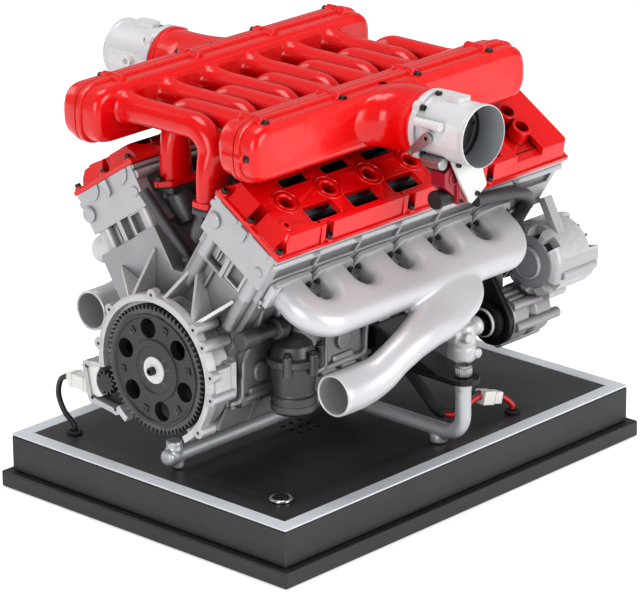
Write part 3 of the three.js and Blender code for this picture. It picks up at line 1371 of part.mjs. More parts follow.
function compressor() {
  const [y, z] = [compressorY, compressorZ];
  const bore = (x0, x1) => rodX(x0, x1, y, z, compressorShaftRadius + runningFit, smallSides);
  const neck = compressorRadius - compressorNeckRadius;
  const body = turnedX(y, z, [[0, compressorFront], [compressorRadius, compressorFront],
    [compressorRadius, compressorNeckX - neck], [compressorNeckRadius, compressorNeckX],
    [compressorRadius, compressorNeckX + neck], [compressorRadius, compressorBack - neck],
    [compressorNeckRadius, compressorBack], [0, compressorBack]], middleSides);
  const bosses = compressorBosses.map(([degrees, back]) => {
    const angle = THREE.MathUtils.degToRad(degrees);
    const place = [y + compressorRadius * Math.cos(angle), z + compressorRadius * Math.sin(angle)];
    return rodX(compressorBossFront, back, ...place, compressorBossRadius, smallSides);
  });
  const wall = -skirtHalfWidth - 2 * fit;
  const arm = block(compressorNeckX, timingBack, y, wall, z, z + compressorArmHeight);
  const solid = cut(join(body, bosses, arm), bore(compressorFront - overrun, compressorBack + overrun));
  add('compressor_body', solid, castAluminium);
  const plateOutline = stringRound([...circle(y, z, compressorPlateRadius, roundSides),
    [wall, compressorPlateTop], [y, compressorPlateTop]]);
  const clipped = plateOutline.map(([u, v]) => [Math.min(u, wall), v]);
  const plate = cut(prismX(clipped, compressorPlateFront, compressorFront - fit),
    bore(compressorPlateFront - overrun, compressorFront + overrun));
  add('compressor_plate', plate, blackMetal);
  const hubBack = compressorPlateFront - fit;
  const step = compressorHubFront + compressorHubStep;
  const hubTip = compressorHubRadius - compressorHubStep;
  const hub = turnedX(y, z, [[0, compressorHubFront], [hubTip, compressorHubFront], [hubTip, step],
    [compressorHubRadius, step], [compressorHubRadius, hubBack], [0, hubBack]], middleSides);
  const shaft = rodX(pumpBarrelBack - compressorShaftRadius, compressorBack + fit, y, z, compressorShaftRadius,
    smallSides);
  add('compressor_hub', join(hub, shaft), blackMetal);
}

function coolantPump() {
  const [y, z] = [compressorY, compressorZ];
  const tower = rodZ(pumpX, y, pumpBottom, pumpTop, pumpRadius, pipeSides);
  const barrel = rodX(pumpBarrelFront, pumpBarrelBack, y, z, pumpBarrelRadius, pipeSides);
  const arm = rodY(pumpX, y, -skirtHalfWidth - 2 * fit, z + pumpRadius, pumpBarrelRadius - fit, pipeSides);
  const bore = rodX(pumpBarrelBack - 2 * pumpRadius, pumpBarrelBack + overrun, y, z, compressorShaftRadius
    + runningFit, smallSides);
  add('coolant_pump', cut(join(tower, barrel, arm), bore), silverPaint);
}

function oilFilter() {
  const can = turnedZ(filterX, filterY, filterProfile, middleSides);
  const ears = [];
  for (let index = 0; index < filterEars; index += 1) {
    const angle = Math.PI + (Math.PI * (2 * index + 1)) / (2 * filterEars);
    const x = filterX + filterClampRadius * Math.cos(angle);
    const y = filterY + filterClampRadius * Math.sin(angle);
    ears.push(rodZ(x, y, filterEarBottom, filterEarTop, filterEarRadius, leastSides));
  }
  add('oil_filter', join(can, ears), darkCasting);
}

function pipes() {
  const [y, z] = bankPoint(-1, headHalfWidth + sidePipeFlangeRadius + fit, sidePipeDistance);
  const step = sidePipeFront + sidePipeStepLength;
  const side = join(rodX(sidePipeFront, sidePipeBack, y, z, sidePipeRadius, pipeSides),
    rodX(sidePipeBack - sidePipeFlangeLength, sidePipeBack, y, z, sidePipeFlangeRadius, pipeSides),
    rodX(sidePipeFront, step, y, z, sidePipeStepRadius, pipeSides));
  add('side_pipe', side, darkCasting);
  const valleyFloor = bankPoint(1, -headHalfWidth, valleyDistance)[1] + fit;
  const [footX, footY] = valleyPipeFoot;
  const collarTop = valleyFloor + valleyCollarHeight;
  const collarFoot = collarTop - valleyCollarHeight / 2;
  const collar = rodZ(footX, footY, collarFoot, collarTop, valleyCollarRadius, pipeSides);
  const foot = rodZ(footX, footY, valleyFloor, collarTop, valleyPipeRadius, pipeSides);
  const upper = rod(valleyPipeTop, valleyPipeFoot, valleyPipeRadius, pipeSides);
  add('valley_pipe', join(upper, foot, collar), gunmetal);
}

function leads() {
  const halfHeight = connectorHeight / 2;
  const halfWidth = connectorWidth / 2;
  const frontBox = block(connectorFrontX - halfWidth, connectorFrontX + halfWidth,
    connectorFrontY - connectorLength / 2, connectorFrontY + connectorLength / 2,
    connectorFrontZ - halfHeight, connectorFrontZ + halfHeight);
  add('connector_front', frontBox, whitePlastic);
  add('lead_front', flexible(leadFrontRoute, leadRadius), rubber);
  const rear = new THREE.BoxGeometry(connectorLength, connectorWidth, connectorHeight);
  const place = new THREE.Matrix4().makeRotationY(THREE.MathUtils.degToRad(connectorRearDegrees));
  place.setPosition(connectorRearX, connectorRearY, connectorRearZ);
  const passage = new THREE.CylinderGeometry(leadRadius + 3 * fit, leadRadius + 3 * fit,
    connectorLength + overrun, pipeSides);
  passage.rotateZ(Math.PI / 2);
  add('connector_rear', cut(solidOf(rear, place), solidOf(passage, place)), whitePlastic);
  add('lead_rear', flexible(leadRearRoute, leadRadius), rubber);
}

plinth();
button();
grommet('grommet_front', grommetFrontX, grommetFrontY);
grommet('grommet_rear', grommetRearX, grommetRearY);
electrics();
stand();
engineMount('near', -1);
engineMount('far', 1);
crankcase();
bellHousing();
timingCover();
crankshaft();
flywheel();
drive();
for (const [bank, name, group] of [[nearBank, 'near', nearHeadGroup], [farBank, 'far', farHeadGroup]]) {
  head(bank, name, group);
  camshaft(bank, `camshaft_${name}_exhaust`, group, camOffset);
  camshaft(bank, `camshaft_${name}_intake`, group, -camOffset);
  valveCover(bank, name, group);
  exhaust(bank, name);
  lowerIntake(bank, name);
}
for (const [name, group, steady] of [['near', nearIntakeGroup, true], ['far', farIntakeGroup, false]]) {
  plenumTub(name, group);
  plenumLid(name, group);
  throttleBody(name, group, steady);
}
throttleActuator();
alternator();
crankPulley();
compressor();
coolantPump();
oilFilter();
pipes();
leads();

export default engine;
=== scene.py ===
import math

import bmesh
import bpy
from mathutils import Matrix, Vector


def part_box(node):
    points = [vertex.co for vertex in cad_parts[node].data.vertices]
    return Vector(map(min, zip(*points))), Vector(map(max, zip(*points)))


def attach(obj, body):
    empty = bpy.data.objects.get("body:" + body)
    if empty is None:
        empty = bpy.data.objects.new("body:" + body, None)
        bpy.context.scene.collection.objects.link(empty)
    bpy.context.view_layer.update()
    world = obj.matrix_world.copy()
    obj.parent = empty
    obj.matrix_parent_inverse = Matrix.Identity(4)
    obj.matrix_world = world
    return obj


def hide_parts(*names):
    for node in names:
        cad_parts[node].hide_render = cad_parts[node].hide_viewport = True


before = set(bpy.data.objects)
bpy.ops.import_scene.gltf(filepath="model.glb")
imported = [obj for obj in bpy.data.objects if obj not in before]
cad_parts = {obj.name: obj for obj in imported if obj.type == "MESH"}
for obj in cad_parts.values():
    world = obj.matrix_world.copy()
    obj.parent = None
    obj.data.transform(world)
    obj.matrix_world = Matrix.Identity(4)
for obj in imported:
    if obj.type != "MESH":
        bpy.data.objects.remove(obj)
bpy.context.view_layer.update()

# A display model of a V-twelve engine. Sizes are millimetres in the part's own frame until a mesh is made.
# X runs along the crankshaft away from the flywheel, Y towards the far bank, Z up.
MM = 0.001
CRANK_HEIGHT = 93.7
CRANK = (0, CRANK_HEIGHT)
BANK_TILT = math.radians(32.5)
BORE_PITCH = 33
INTAKE_CENTRE = -19.3
PANEL_TOP = 31.6
BUTTON = (-115.4, -75)
GROMMETS = {"front": (-120.8, 80.1), "rear": (68, -84)}
BANKS = {"near": {"side": -1, "front": -122}, "far": {"side": 1, "front": -114}}
HEAD_BACK = 118
CAM_LEVEL = 104
CAM_OFFSETS = {"exhaust": 12.5, "intake": -12.5}
PORT_X = 88
PORT_OFFSETS = (-6.5, 6.5)
STAND_X = 6
STAND_REACH = 100.5
STAND_TUBE = 4.5
SPINE_LEVEL = 39.4
POST_X = -121.5
BELL_FACE = -136
BELL_BACK = -116.3
RING_GEAR_TEETH = 72
STARTER_ANGLE = -24
MOTOR_REACH = 47.3
RIB_START = -108
RIB_PITCH = 33.5
RUNNER_START = -74.25
RUNNER_LEVEL = 229.5
RUNNER_FOOT = 22
NECK = (2.3, 226.6)
NECK_SCREW_ANGLES = (45, 135, 225, 315)
THROTTLE_SHAFT = -113
ALTERNATOR = (-66.6, 109.5)
COMPRESSOR = (-52.1, 75.4)


def bore_x(bank, index):
    return BANKS[bank]["front"] + 24.5 + index * BORE_PITCH


def runner_x(index):
    """A runner's place along its own intake, from the intake's centre."""
    return RUNNER_START + index * BORE_PITCH


def bank_point(side, offset, distance):
    y = side * (distance * math.sin(BANK_TILT) + offset * math.cos(BANK_TILT))
    return y, CRANK_HEIGHT + distance * math.cos(BANK_TILT) - offset * math.sin(BANK_TILT)


def bank_matrix(bank):
    """Places a shape drawn as (x, offset across the bank, distance up the bank)."""
    side = BANKS[bank]["side"]
    sine, cosine = math.sin(BANK_TILT), math.cos(BANK_TILT)
    return Matrix(((1, 0, 0, 0), (0, side * cosine, side * sine, 0), (0, -sine, cosine, CRANK_HEIGHT),
                   (0, 0, 0, 1)))


def intake_matrix(bank):
    """The near intake as drawn about its centre, or the same turned half round for the far one."""
    turn = 0 if bank == "near" else math.pi
    return Matrix.Translation((INTAKE_CENTRE, 0, 0)) @ Matrix.Rotation(turn, 4, "Z")


def mirrored(bank):
    """Draws as for the near bank; the far one is its mirror image, 8 mm further along X."""
    if bank == "near":
        return Matrix.Identity(4)
    return Matrix.Translation((8, 0, 0)) @ Matrix.Diagonal((1, -1, 1, 1))


# Outlines

def polar(centre, radius, degrees):
    angle = math.radians(degrees)
    return centre[0] + radius * math.cos(angle), centre[1] + radius * math.sin(angle)


def circle(u, v, radius, sides=48, start=0.0, sweep=360.0):
    """A ring of points, or an arc with both its ends where the sweep is short of a full turn."""
    count = sides if abs(sweep) >= 360 else sides + 1
    return [polar((u, v), radius, start + sweep * step / sides) for step in range(count)]


def rectangle(u0, u1, v0, v1):
    return [(u0, v0), (u1, v0), (u1, v1), (u0, v1)]


def softened(points, radius, closed=True, steps=4):
    """Rounds each corner of an outline with a short curve."""
    result = []
    count = len(points)
    for index, point in enumerate(points):
        here = Vector(point)
        if not closed and index in (0, count - 1):
            result.append(tuple(here))
            continue
        before, after = Vector(points[index - 1]), Vector(points[(index + 1) % count])
        back, on = before - here, after - here
        if back.length < 1e-6 or on.length < 1e-6 or abs(back.angle(on) - math.pi) < 0.05:
            result.append(tuple(here))
            continue
        reach = min(radius, back.length * 0.45, on.length * 0.45)
        start, end = here + back.normalized() * reach, here + on.normalized() * reach
        for step in range(steps + 1):
            share = step / steps
            result.append(tuple(start * (1 - share) ** 2 + here * 2 * share * (1 - share) + end * share ** 2))
    return result


def hull(points):
    """The outline stretched round the points."""
    ordered = sorted(set((round(u, 5), round(v, 5)) for u, v in points))

    def half(sequence):
        chain = []
        for point in sequence:
            while len(chain) > 1 and ((chain[-1][0] - chain[-2][0]) * (point[1] - chain[-2][1])
                                      - (chain[-1][1] - chain[-2][1]) * (point[0] - chain[-2][0])) <= 0:
                chain.pop()
            chain.append(point)
        return chain[:-1]
    return half(ordered) + half(reversed(ordered))


def tube_bend(u, v, radius, start, end, steps=10):
    return circle(u, v, radius, steps, start, end - start)


# Solids

def made(name, points, faces, matrix=None):
    """A closed mesh from points in millimetres, with its faces turned outwards."""
    mesh = bpy.data.meshes.new(name)
    mesh.from_pydata([Vector(point) for point in points], [], faces)
    shell = bmesh.new()
    shell.from_mesh(mesh)
    bmesh.ops.remove_doubles(shell, verts=shell.verts, dist=1e-5)
    bmesh.ops.transform(shell, matrix=Matrix.Scale(MM, 4) @ (matrix or Matrix.Identity(4)), verts=shell.verts)
    bmesh.ops.recalc_face_normals(shell, faces=shell.faces)
    if shell.calc_volume(signed=True) < 0:
        bmesh.ops.reverse_faces(shell, faces=shell.faces)
    shell.to_mesh(mesh)
    shell.free()
    return linked(name, mesh)


AXES = {"x": (1, 2, 0), "y": (0, 2, 1), "z": (0, 1, 2)}


def spread(axis, u, v, along):
    point = [0, 0, 0]
    first, second, third = AXES[axis]
    point[first], point[second], point[third] = u, v, along
    return point


def skinned(name, rings, matrix=None, looped=False):
    """Joins rings of the same number of points, one after another, into one shell."""
    count = len(rings[0])
    points = [point for ring in rings for point in ring]
    faces = []
    pairs = [(row, row + 1) for row in range(len(rings) - 1)] + ([(len(rings) - 1, 0)] if looped else [])
    for row, following in pairs:
        for step in range(count):
            turn = (step + 1) % count
            faces.append((row * count + step, row * count + turn, following * count + turn,
                          following * count + step))
    if not looped:
        faces.append(tuple(range(count))[::-1])
        faces.append(tuple(range((len(rings) - 1) * count, len(rings) * count)))
    return made(name, points, faces, matrix)


def prism(name, axis, outline, low, high, matrix=None):
    return skinned(name, [[spread(axis, u, v, level) for u, v in outline] for level in (low, high)], matrix)


def block(name, x0, x1, y0, y1, z0, z1, matrix=None):
    return prism(name, "z", rectangle(x0, x1, y0, y1), z0, z1, matrix)


def tier(name, half_length, half_width, low, high):
    """A level slab about the plinth's centre."""
    return block(name, -half_length, half_length, -half_width, half_width, low, high)


def turned(name, axis, centre, profile, sides=56, matrix=None, soft=0.0):
    """Turns a profile of (radius, place along the axis) round an axis. It starts and ends on the axis."""
    outline = softened(profile, soft, closed=False, steps=3) if soft else profile
    points, faces, rows = [], [], []
    for radius, along in outline:
        if radius < 1e-3:
            rows.append([len(points)])
            points.append(spread(axis, *centre, along))
        else:
            rows.append(list(range(len(points), len(points) + sides)))
            points += [spread(axis, *point, along) for point in circle(*centre, radius, sides)]
    for low, high in zip(rows, rows[1:]):
        for step in range(sides):
            turn = (step + 1) % sides
            if len(low) == 1:
                faces.append((low[0], high[turn], high[step]))
            elif len(high) == 1:
                faces.append((low[step], low[turn], high[0]))
            else:
                faces.append((low[step], low[turn], high[turn], high[step]))
    return made(name, points, faces, matrix)


def ring_turned(name, axis, centre, profile, sides=56, matrix=None, soft=0.0):
    """Turns a closed profile round an axis, as for a tube or a bored ring."""
    outline = softened(profile, soft, steps=3) if soft else profile
    rings = [[spread(axis, *point, along) for point in circle(*centre, radius, sides)]
             for radius, along in outline]
    return skinned(name, rings, matrix, looped=True)


def rod(name, start, end, radius, sides=40, end_radius=None, matrix=None):
    start, end = Vector(start), Vector(end)
    run = (end - start).normalized()
    across = run.orthogonal().normalized()
    other = run.cross(across)
    rings = [[place + across * (size * math.cos(angle)) + other * (size * math.sin(angle))
              for angle in (2 * math.pi * step / sides for step in range(sides))]
             for place, size in ((start, radius), (end, radius if end_radius is None else end_radius))]
    return skinned(name, rings, matrix)


def curved(points, steps=6):
    """A smooth line through the points."""
    line = [Vector(point) for point in points]
    padded = [2 * line[0] - line[1]] + line + [2 * line[-1] - line[-2]]
    result = []
    for index in range(1, len(padded) - 2):
        a, b, c, d = padded[index - 1:index + 3]
        for step in range(steps):
            t = step / steps
            result.append(0.5 * ((2 * b) + (c - a) * t + (2 * a - 5 * b + 4 * c - d) * t ** 2
                                 + (3 * b - a - 3 * c + d) * t ** 3))
    return result + [line[-1]]


def swept(name, route, sizes, up=(0, 0, 1), sides=32, matrix=None, fullness=1.0):
    """A tube along a route. Each size is (half width, half height); the height follows up."""
    up = Vector(up)
    rings = []
    for index, place in enumerate(route):
        run = (Vector(route[min(index + 1, len(route) - 1)]) - Vector(route[max(index - 1, 0)])).normalized()
        across = run.cross(up).normalized()
        above = across.cross(run)
        wide, high = sizes[index] if isinstance(sizes[index], (tuple, list)) else (sizes[index], sizes[index])
        ring = []
        for step in range(sides):
            angle = 2 * math.pi * step / sides
            cosine, sine = math.cos(angle), math.sin(angle)
            ring.append(Vector(place) + across * (wide * math.copysign(abs(cosine) ** fullness, cosine))
                        + above * (high * math.copysign(abs(sine) ** fullness, sine)))
        rings.append(ring)
    return skinned(name, rings, matrix)


def between(values, steps=6):
    """Sizes for the points that curved() adds."""
    result = []
    for first, second in zip(values, values[1:]):
        for step in range(steps):
            share = step / steps
            if isinstance(first, (tuple, list)):
                result.append(tuple(a + (b - a) * share for a, b in zip(first, second)))
            else:
                result.append(first + (second - first) * share)
    return result + [values[-1]]


def plain(piece):
    """The piece with its modifiers worked into its mesh."""
    graph = bpy.context.evaluated_depsgraph_get()
    mesh = bpy.data.meshes.new_from_object(piece.evaluated_get(graph))
    piece.modifiers.clear()
    old = piece.data
    piece.data = mesh
    bpy.data.meshes.remove(old)
    mesh.name = piece.name
    return piece


def forget(piece):
    mesh = piece.data
    bpy.data.objects.remove(piece)
    bpy.data.meshes.remove(mesh)


def gathered(name, pieces):
    """The pieces as one mesh, without joining their surfaces."""
    whole = bmesh.new()
    for piece in pieces:
        whole.from_mesh(piece.data)
    mesh = bpy.data.meshes.new(name)
    whole.to_mesh(mesh)
    whole.free()
    for piece in pieces:
        forget(piece)
    return linked(name, mesh)


def combined(piece, tools, operation):
    for tool in tools:
        modifier = piece.modifiers.new(tool.name, "BOOLEAN")
        modifier.operation = operation
        modifier.solver = "EXACT"
        modifier.object = tool
    plain(piece)
    for tool in tools:
        forget(tool)
    return piece


def joined(piece, *tools):
    return combined(piece, tools, "UNION")


def cut(piece, *tools):
    return combined(piece, tools, "DIFFERENCE")


def merged(piece):
    """Joins the slivers that cutting leaves in flat faces."""
    mesh = bmesh.new()
    mesh.from_mesh(piece.data)
    bmesh.ops.remove_doubles(mesh, verts=mesh.verts, dist=0.004 * MM)
    bmesh.ops.dissolve_degenerate(mesh, edges=mesh.edges, dist=0.004 * MM)
    bmesh.ops.dissolve_limit(mesh, angle_limit=math.radians(0.4), verts=mesh.verts, edges=mesh.edges)
    mesh.to_mesh(piece.data)
    mesh.free()
    return piece


def rounded(piece, width, segments=2, angle=32):
    """Breaks the piece's edges, as a casting's or a moulding's are."""
    modifier = piece.modifiers.new("edges", "BEVEL")
    modifier.width = width * MM
    modifier.segments = segments
    modifier.limit_method = "ANGLE"
    modifier.angle_limit = math.radians(angle)
    modifier.use_clamp_overlap = True
    return plain(piece)


def cast(piece, grid, passes=3, factor=0.5):
    """Melts the pieces together with soft inner corners, as a casting has."""
    modifier = piece.modifiers.new("cast", "REMESH")
    modifier.mode = "VOXEL"
    modifier.voxel_size = grid * MM
    modifier.use_smooth_shade = True
    smooth = piece.modifiers.new("soft", "SMOOTH")
    smooth.factor = factor
    smooth.iterations = passes
    return plain(piece)


def linked(name, mesh):
    piece = bpy.data.objects.new(name, mesh)
    bpy.context.scene.collection.objects.link(piece)
    return piece


def copied(node, name):
    """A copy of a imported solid, merged into one surface with flat faces whole."""
    shell = bmesh.new()
    shell.from_mesh(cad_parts[node].data)
    bmesh.ops.remove_doubles(shell, verts=shell.verts, dist=1e-6)
    bmesh.ops.dissolve_limit(shell, angle_limit=math.radians(0.6), verts=shell.verts, edges=shell.edges)
    mesh = bpy.data.meshes.new(name)
    shell.to_mesh(mesh)
    shell.free()
    return linked(name, mesh)


def heights(node):
    """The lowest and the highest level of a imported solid."""
    low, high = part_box(node)
    return low[2] / MM, high[2] / MM


def coated(node, material):
    """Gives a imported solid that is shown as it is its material."""
    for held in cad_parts[node].material_slots:
        held.material = material


def settled(piece, material, body="base", nodes=(), angle=38):
    """Gives a finished piece its material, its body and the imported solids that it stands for."""
    mesh = piece.data
    mesh.materials.clear()
    mesh.materials.append(material)
    for face in mesh.polygons:
        face.material_index = 0
        face.use_smooth = True
    mesh.set_sharp_from_angle(angle=math.radians(angle))
    level = piece.modifiers.new("level", "WEIGHTED_NORMAL")
    level.keep_sharp = True
    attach(piece, body)
    if nodes:
        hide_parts(*nodes)
    return piece


# Finishes

def linear(red, green, blue):
    return tuple((value / 255) ** 2.2 for value in (red, green, blue)) + (1,)


def group_of(name, inputs, outputs):
    group = bpy.data.node_groups.new(name, "ShaderNodeTree")
    for label, value in inputs:
        group.interface.new_socket(label, in_out="INPUT", socket_type="NodeSocketFloat").default_value = value
    for label in outputs:
        group.interface.new_socket(label, in_out="OUTPUT", socket_type="NodeSocketFloat")
    return group, group.nodes.new("NodeGroupInput"), group.nodes.new("NodeGroupOutput")


def arithmetic(tree, operation, first, second=None, clamp=False):
    node = tree.nodes.new("ShaderNodeMath")
    node.operation = operation
    node.use_clamp = clamp
    for socket, value in zip(node.inputs, (first, second)):
        if value is None:
            continue
        if isinstance(value, (int, float)):
            socket.default_value = value
        else:
            tree.links.new(value, socket)
    return node.outputs[0]


def noise(tree, vector, scale, detail=3.0, rough=0.5):
    node = tree.nodes.new("ShaderNodeTexNoise")
    tree.links.new(vector, node.inputs["Vector"])
    node.inputs["Detail"].default_value = detail
    node.inputs["Roughness"].default_value = rough
    if isinstance(scale, (int, float)):
        node.inputs["Scale"].default_value = scale
    else:
        tree.links.new(scale, node.inputs["Scale"])
    return node.outputs["Fac"]


def casting_group():
    """Grain of a cast or blasted skin, and its slow change from place to place."""
    tree, given, out = group_of("casting_skin", [("Grain per metre", 1600.0), ("Patches per metre", 45.0)],
                                ["Grain", "Patches"])
    place = tree.nodes.new("ShaderNodeTexCoord").outputs["Object"]
    fine = noise(tree, place, given.outputs["Grain per metre"], 4.0, 0.6)
    slow = noise(tree, place, given.outputs["Patches per metre"], 5.0, 0.55)
    tree.links.new(fine, out.inputs["Grain"])
    tree.links.new(slow, out.inputs["Patches"])
    return tree


def brushing_group():
    """Fine lines left by turning or drawing, along one axis of the part."""
    tree, given, out = group_of("drawn_lines", [("Along X", 60.0), ("Along Y", 2500.0), ("Along Z", 2500.0)],
                                ["Lines"])
    place = tree.nodes.new("ShaderNodeTexCoord").outputs["Object"]
    scale = tree.nodes.new("ShaderNodeCombineXYZ")
    for axis in "XYZ":
        tree.links.new(given.outputs[f"Along {axis}"], scale.inputs[axis])
    stretch = tree.nodes.new("ShaderNodeVectorMath")
    stretch.operation = "MULTIPLY"
    tree.links.new(place, stretch.inputs[0])
    tree.links.new(scale.outputs[0], stretch.inputs[1])
    tree.links.new(noise(tree, stretch.outputs[0], 1.0, 2.0, 0.5), out.inputs["Lines"])
    return tree


def wear_and_shade_group():
    """Edges that rub bright, dust that settles on what faces up, and painted shade in hollows and enclosed
    corners.
    """
    tree, given, out = group_of("edges_and_dust", [("Edge level", 0.56), ("Specks per metre", 900.0),
                                                   ("Cavity reach", 0.02)], ["Edges", "Dust", "Hollows"])
    geometry = tree.nodes.new("ShaderNodeNewGeometry")
    place = tree.nodes.new("ShaderNodeTexCoord").outputs["Object"]
    broken = noise(tree, place, 260.0, 3.0, 0.6)
    sharp = arithmetic(tree, "SUBTRACT", geometry.outputs["Pointiness"], given.outputs["Edge level"])
    edges = arithmetic(tree, "MULTIPLY", arithmetic(tree, "MULTIPLY", sharp, 14.0, True), broken, True)
    # Painted shade: concave places, and places that ambient occlusion finds closed in, are marked to be
    # darkened.
    painted_shade = arithmetic(tree, "MULTIPLY", arithmetic(tree, "SUBTRACT", 0.485,
                                                      geometry.outputs["Pointiness"]), 12.0, True)
    enclosed = tree.nodes.new("ShaderNodeAmbientOcclusion")
    enclosed.samples = 6
    tree.links.new(given.outputs["Cavity reach"], enclosed.inputs["Distance"])
    occlusion_shade = arithmetic(tree, "MULTIPLY", arithmetic(tree, "SUBTRACT", 0.8, enclosed.outputs["AO"], True), 1.5,
                      True)
    painted_shade = arithmetic(tree, "ADD", painted_shade, occlusion_shade, True)
    split = tree.nodes.new("ShaderNodeSeparateXYZ")
    tree.links.new(geometry.outputs["Normal"], split.inputs[0])
    specks = noise(tree, place, given.outputs["Specks per metre"], 5.0, 0.7)
    dust = arithmetic(tree, "MULTIPLY", arithmetic(tree, "SUBTRACT", specks, 0.6, True), 4.0, True)
    dust = arithmetic(tree, "MULTIPLY", dust, arithmetic(tree, "MULTIPLY", split.outputs["Z"], 1.0, True),
                      True)
    for value, label in ((edges, "Edges"), (dust, "Dust"), (painted_shade, "Hollows")):
        tree.links.new(value, out.inputs[label])
    return tree


CASTING_SKIN = casting_group()
DRAWN_LINES = brushing_group()
EDGES_DUST_AND_SHADE = wear_and_shade_group()


def mixed(tree, share, first, second):
    node = tree.nodes.new("ShaderNodeMix")
    node.data_type = "RGBA"
    tree.links.new(share, node.inputs[0])
    for socket, value in ((node.inputs[6], first), (node.inputs[7], second)):
        if isinstance(value, tuple):
            socket.default_value = value
        else:
            tree.links.new(value, socket)
    return node.outputs[2]


def paint(name, colour, rough, metal=0.0, coat=0.0, coat_rough=0.1, grain=1600.0, depth=0.02, patches=0.12,
          uneven=0.08, edge=None, dust=0.12, lines=None, line_depth=0.01, specular=0.5):
    """A finish: its colour with slow patches, painted shade in hollows, worn edges and dust, over a grained
    or drawn skin.
    """
    material = bpy.data.materials.new(name)
    material.use_nodes = True
    tree = material.node_tree
    shader = tree.nodes["Principled BSDF"]
    shader.inputs["Metallic"].default_value = metal
    shader.inputs["Coat Weight"].default_value = coat
    shader.inputs["Coat Roughness"].default_value = coat_rough
    shader.inputs["Specular IOR Level"].default_value = specular
    skin = tree.nodes.new("ShaderNodeGroup")
    skin.node_tree = CASTING_SKIN
    skin.inputs["Grain per metre"].default_value = grain
    wear_and_shade = tree.nodes.new("ShaderNodeGroup")
    wear_and_shade.node_tree = EDGES_DUST_AND_SHADE
    low = tuple(value * (1 - 2.2 * patches) for value in colour[:3]) + (1,)
    base = mixed(tree, arithmetic(tree, "MULTIPLY", skin.outputs["Patches"], min(1.0, 6 * patches), True),
                 colour, low)
    # Painted shade: the colour darkens towards a fifth of itself in hollows and enclosed corners.
    base = mixed(tree, arithmetic(tree, "MULTIPLY", wear_and_shade.outputs["Hollows"], 0.8), base,
                 tuple(value * 0.2 for value in colour[:3]) + (1,))
    if edge:
        base = mixed(tree, wear_and_shade.outputs["Edges"], base, edge)
    base = mixed(tree, arithmetic(tree, "MULTIPLY", wear_and_shade.outputs["Dust"], dust), base, linear(190, 188, 184))
    tree.links.new(base, shader.inputs["Base Color"])
    change = arithmetic(tree, "MULTIPLY", arithmetic(tree, "SUBTRACT", skin.outputs["Patches"], 0.5),
                        2 * uneven)
    texture = arithmetic(tree, "MULTIPLY", arithmetic(tree, "SUBTRACT", skin.outputs["Grain"], 0.5), uneven)
    level = arithmetic(tree, "ADD", arithmetic(tree, "ADD", rough, change), texture, True)
    level = arithmetic(tree, "ADD", level, arithmetic(tree, "MULTIPLY", wear_and_shade.outputs["Dust"], 0.3), True)
    tree.links.new(level, shader.inputs["Roughness"])
    bump = tree.nodes.new("ShaderNodeBump")
    bump.inputs["Distance"].default_value = depth * MM
    height = skin.outputs["Grain"]
    if lines:
        drawn = tree.nodes.new("ShaderNodeGroup")
        drawn.node_tree = DRAWN_LINES
        for axis, scale in zip("XYZ", lines):
            drawn.inputs[f"Along {axis}"].default_value = scale
        scored = arithmetic(tree, "MULTIPLY", drawn.outputs["Lines"], line_depth / depth)
        height = arithmetic(tree, "ADD", height, scored)
    tree.links.new(height, bump.inputs["Height"])
    tree.links.new(bump.outputs[0], shader.inputs["Normal"])
    return material


RED_ENAMEL = paint("red_enamel", linear(228, 10, 16), 0.25, coat=0.35, coat_rough=0.07, grain=500, depth=0.01,
                   patches=0.04, uneven=0.04, edge=linear(232, 48, 46), dust=0.02, specular=0.25)
CAST_ALUMINIUM = paint("cast_aluminium_skin", linear(186, 185, 189), 0.46, metal=0.5, grain=1900, depth=0.05,
                       patches=0.1, edge=linear(205, 205, 205))
GREY_CASTING = paint("grey_casting_skin", linear(166, 165, 169), 0.46, metal=0.6, grain=1500, depth=0.07,
                     patches=0.14, edge=linear(186, 186, 188))
CASTING_GREY_PALE = paint("pale_casting_skin", linear(160, 157, 161), 0.46, metal=0.5, grain=1700, depth=0.05,
                          patches=0.1, edge=linear(196, 195, 198))
PLATE_GREY = paint("grey_plate_skin", linear(158, 162, 166), 0.4, metal=0.25, grain=2000, depth=0.02,
                   patches=0.08)
GUNMETAL = paint("gunmetal_skin", linear(84, 83, 86), 0.42, metal=0.7, grain=1500, depth=0.06, patches=0.14,
                 edge=linear(110, 110, 112))
SATIN_SILVER = paint("satin_silver", linear(204, 203, 207), 0.38, metal=0.3, grain=2400, depth=0.025,
                     patches=0.05, uneven=0.05, edge=linear(214, 214, 214), dust=0.06)
BRIGHT_SILVER = paint("bright_silver", linear(214, 214, 217), 0.36, metal=0.12, grain=2400, depth=0.02,
                      patches=0.05, uneven=0.05, edge=linear(232, 232, 232), dust=0.05)
ALTERNATOR_SILVER = paint("alternator_silver", linear(178, 178, 181), 0.4, metal=0.25, grain=2200, depth=0.03,
                          patches=0.06, edge=linear(206, 206, 206))
STAND_SILVER = paint("stand_silver", linear(182, 185, 188), 0.36, metal=0.5, grain=2600, depth=0.02,
                     patches=0.06, edge=linear(212, 212, 212))
TURNED_STEEL = paint("turned_steel", linear(168, 168, 168), 0.28, metal=0.95, grain=2600, depth=0.006,
                     patches=0.06, lines=(60, 2600, 2600), line_depth=0.008)
CHROME = paint("chrome", linear(206, 207, 208), 0.14, metal=0.95, grain=1200, depth=0.003, patches=0.04,
               dust=0.04)
PLINTH_BLACK = paint("plinth_black", linear(26, 26, 27), 0.5, grain=2300, depth=0.045, patches=0.12,
                     uneven=0.1, edge=linear(52, 52, 54), dust=0.16)
PANEL_BLACK = paint("panel_black", linear(12, 12, 14), 0.4, grain=2600, depth=0.03, patches=0.1, uneven=0.08,
                    edge=linear(60, 60, 60), dust=0.03)
BORDER_PALE = paint("border_pale", linear(214, 219, 225), 0.42, grain=2200, depth=0.01, patches=0.03,
                    dust=0.1)
ANTHRACITE = paint("anthracite", linear(86, 86, 89), 0.42, metal=0.6, grain=1900, depth=0.03, patches=0.12,
                   edge=linear(130, 130, 132))
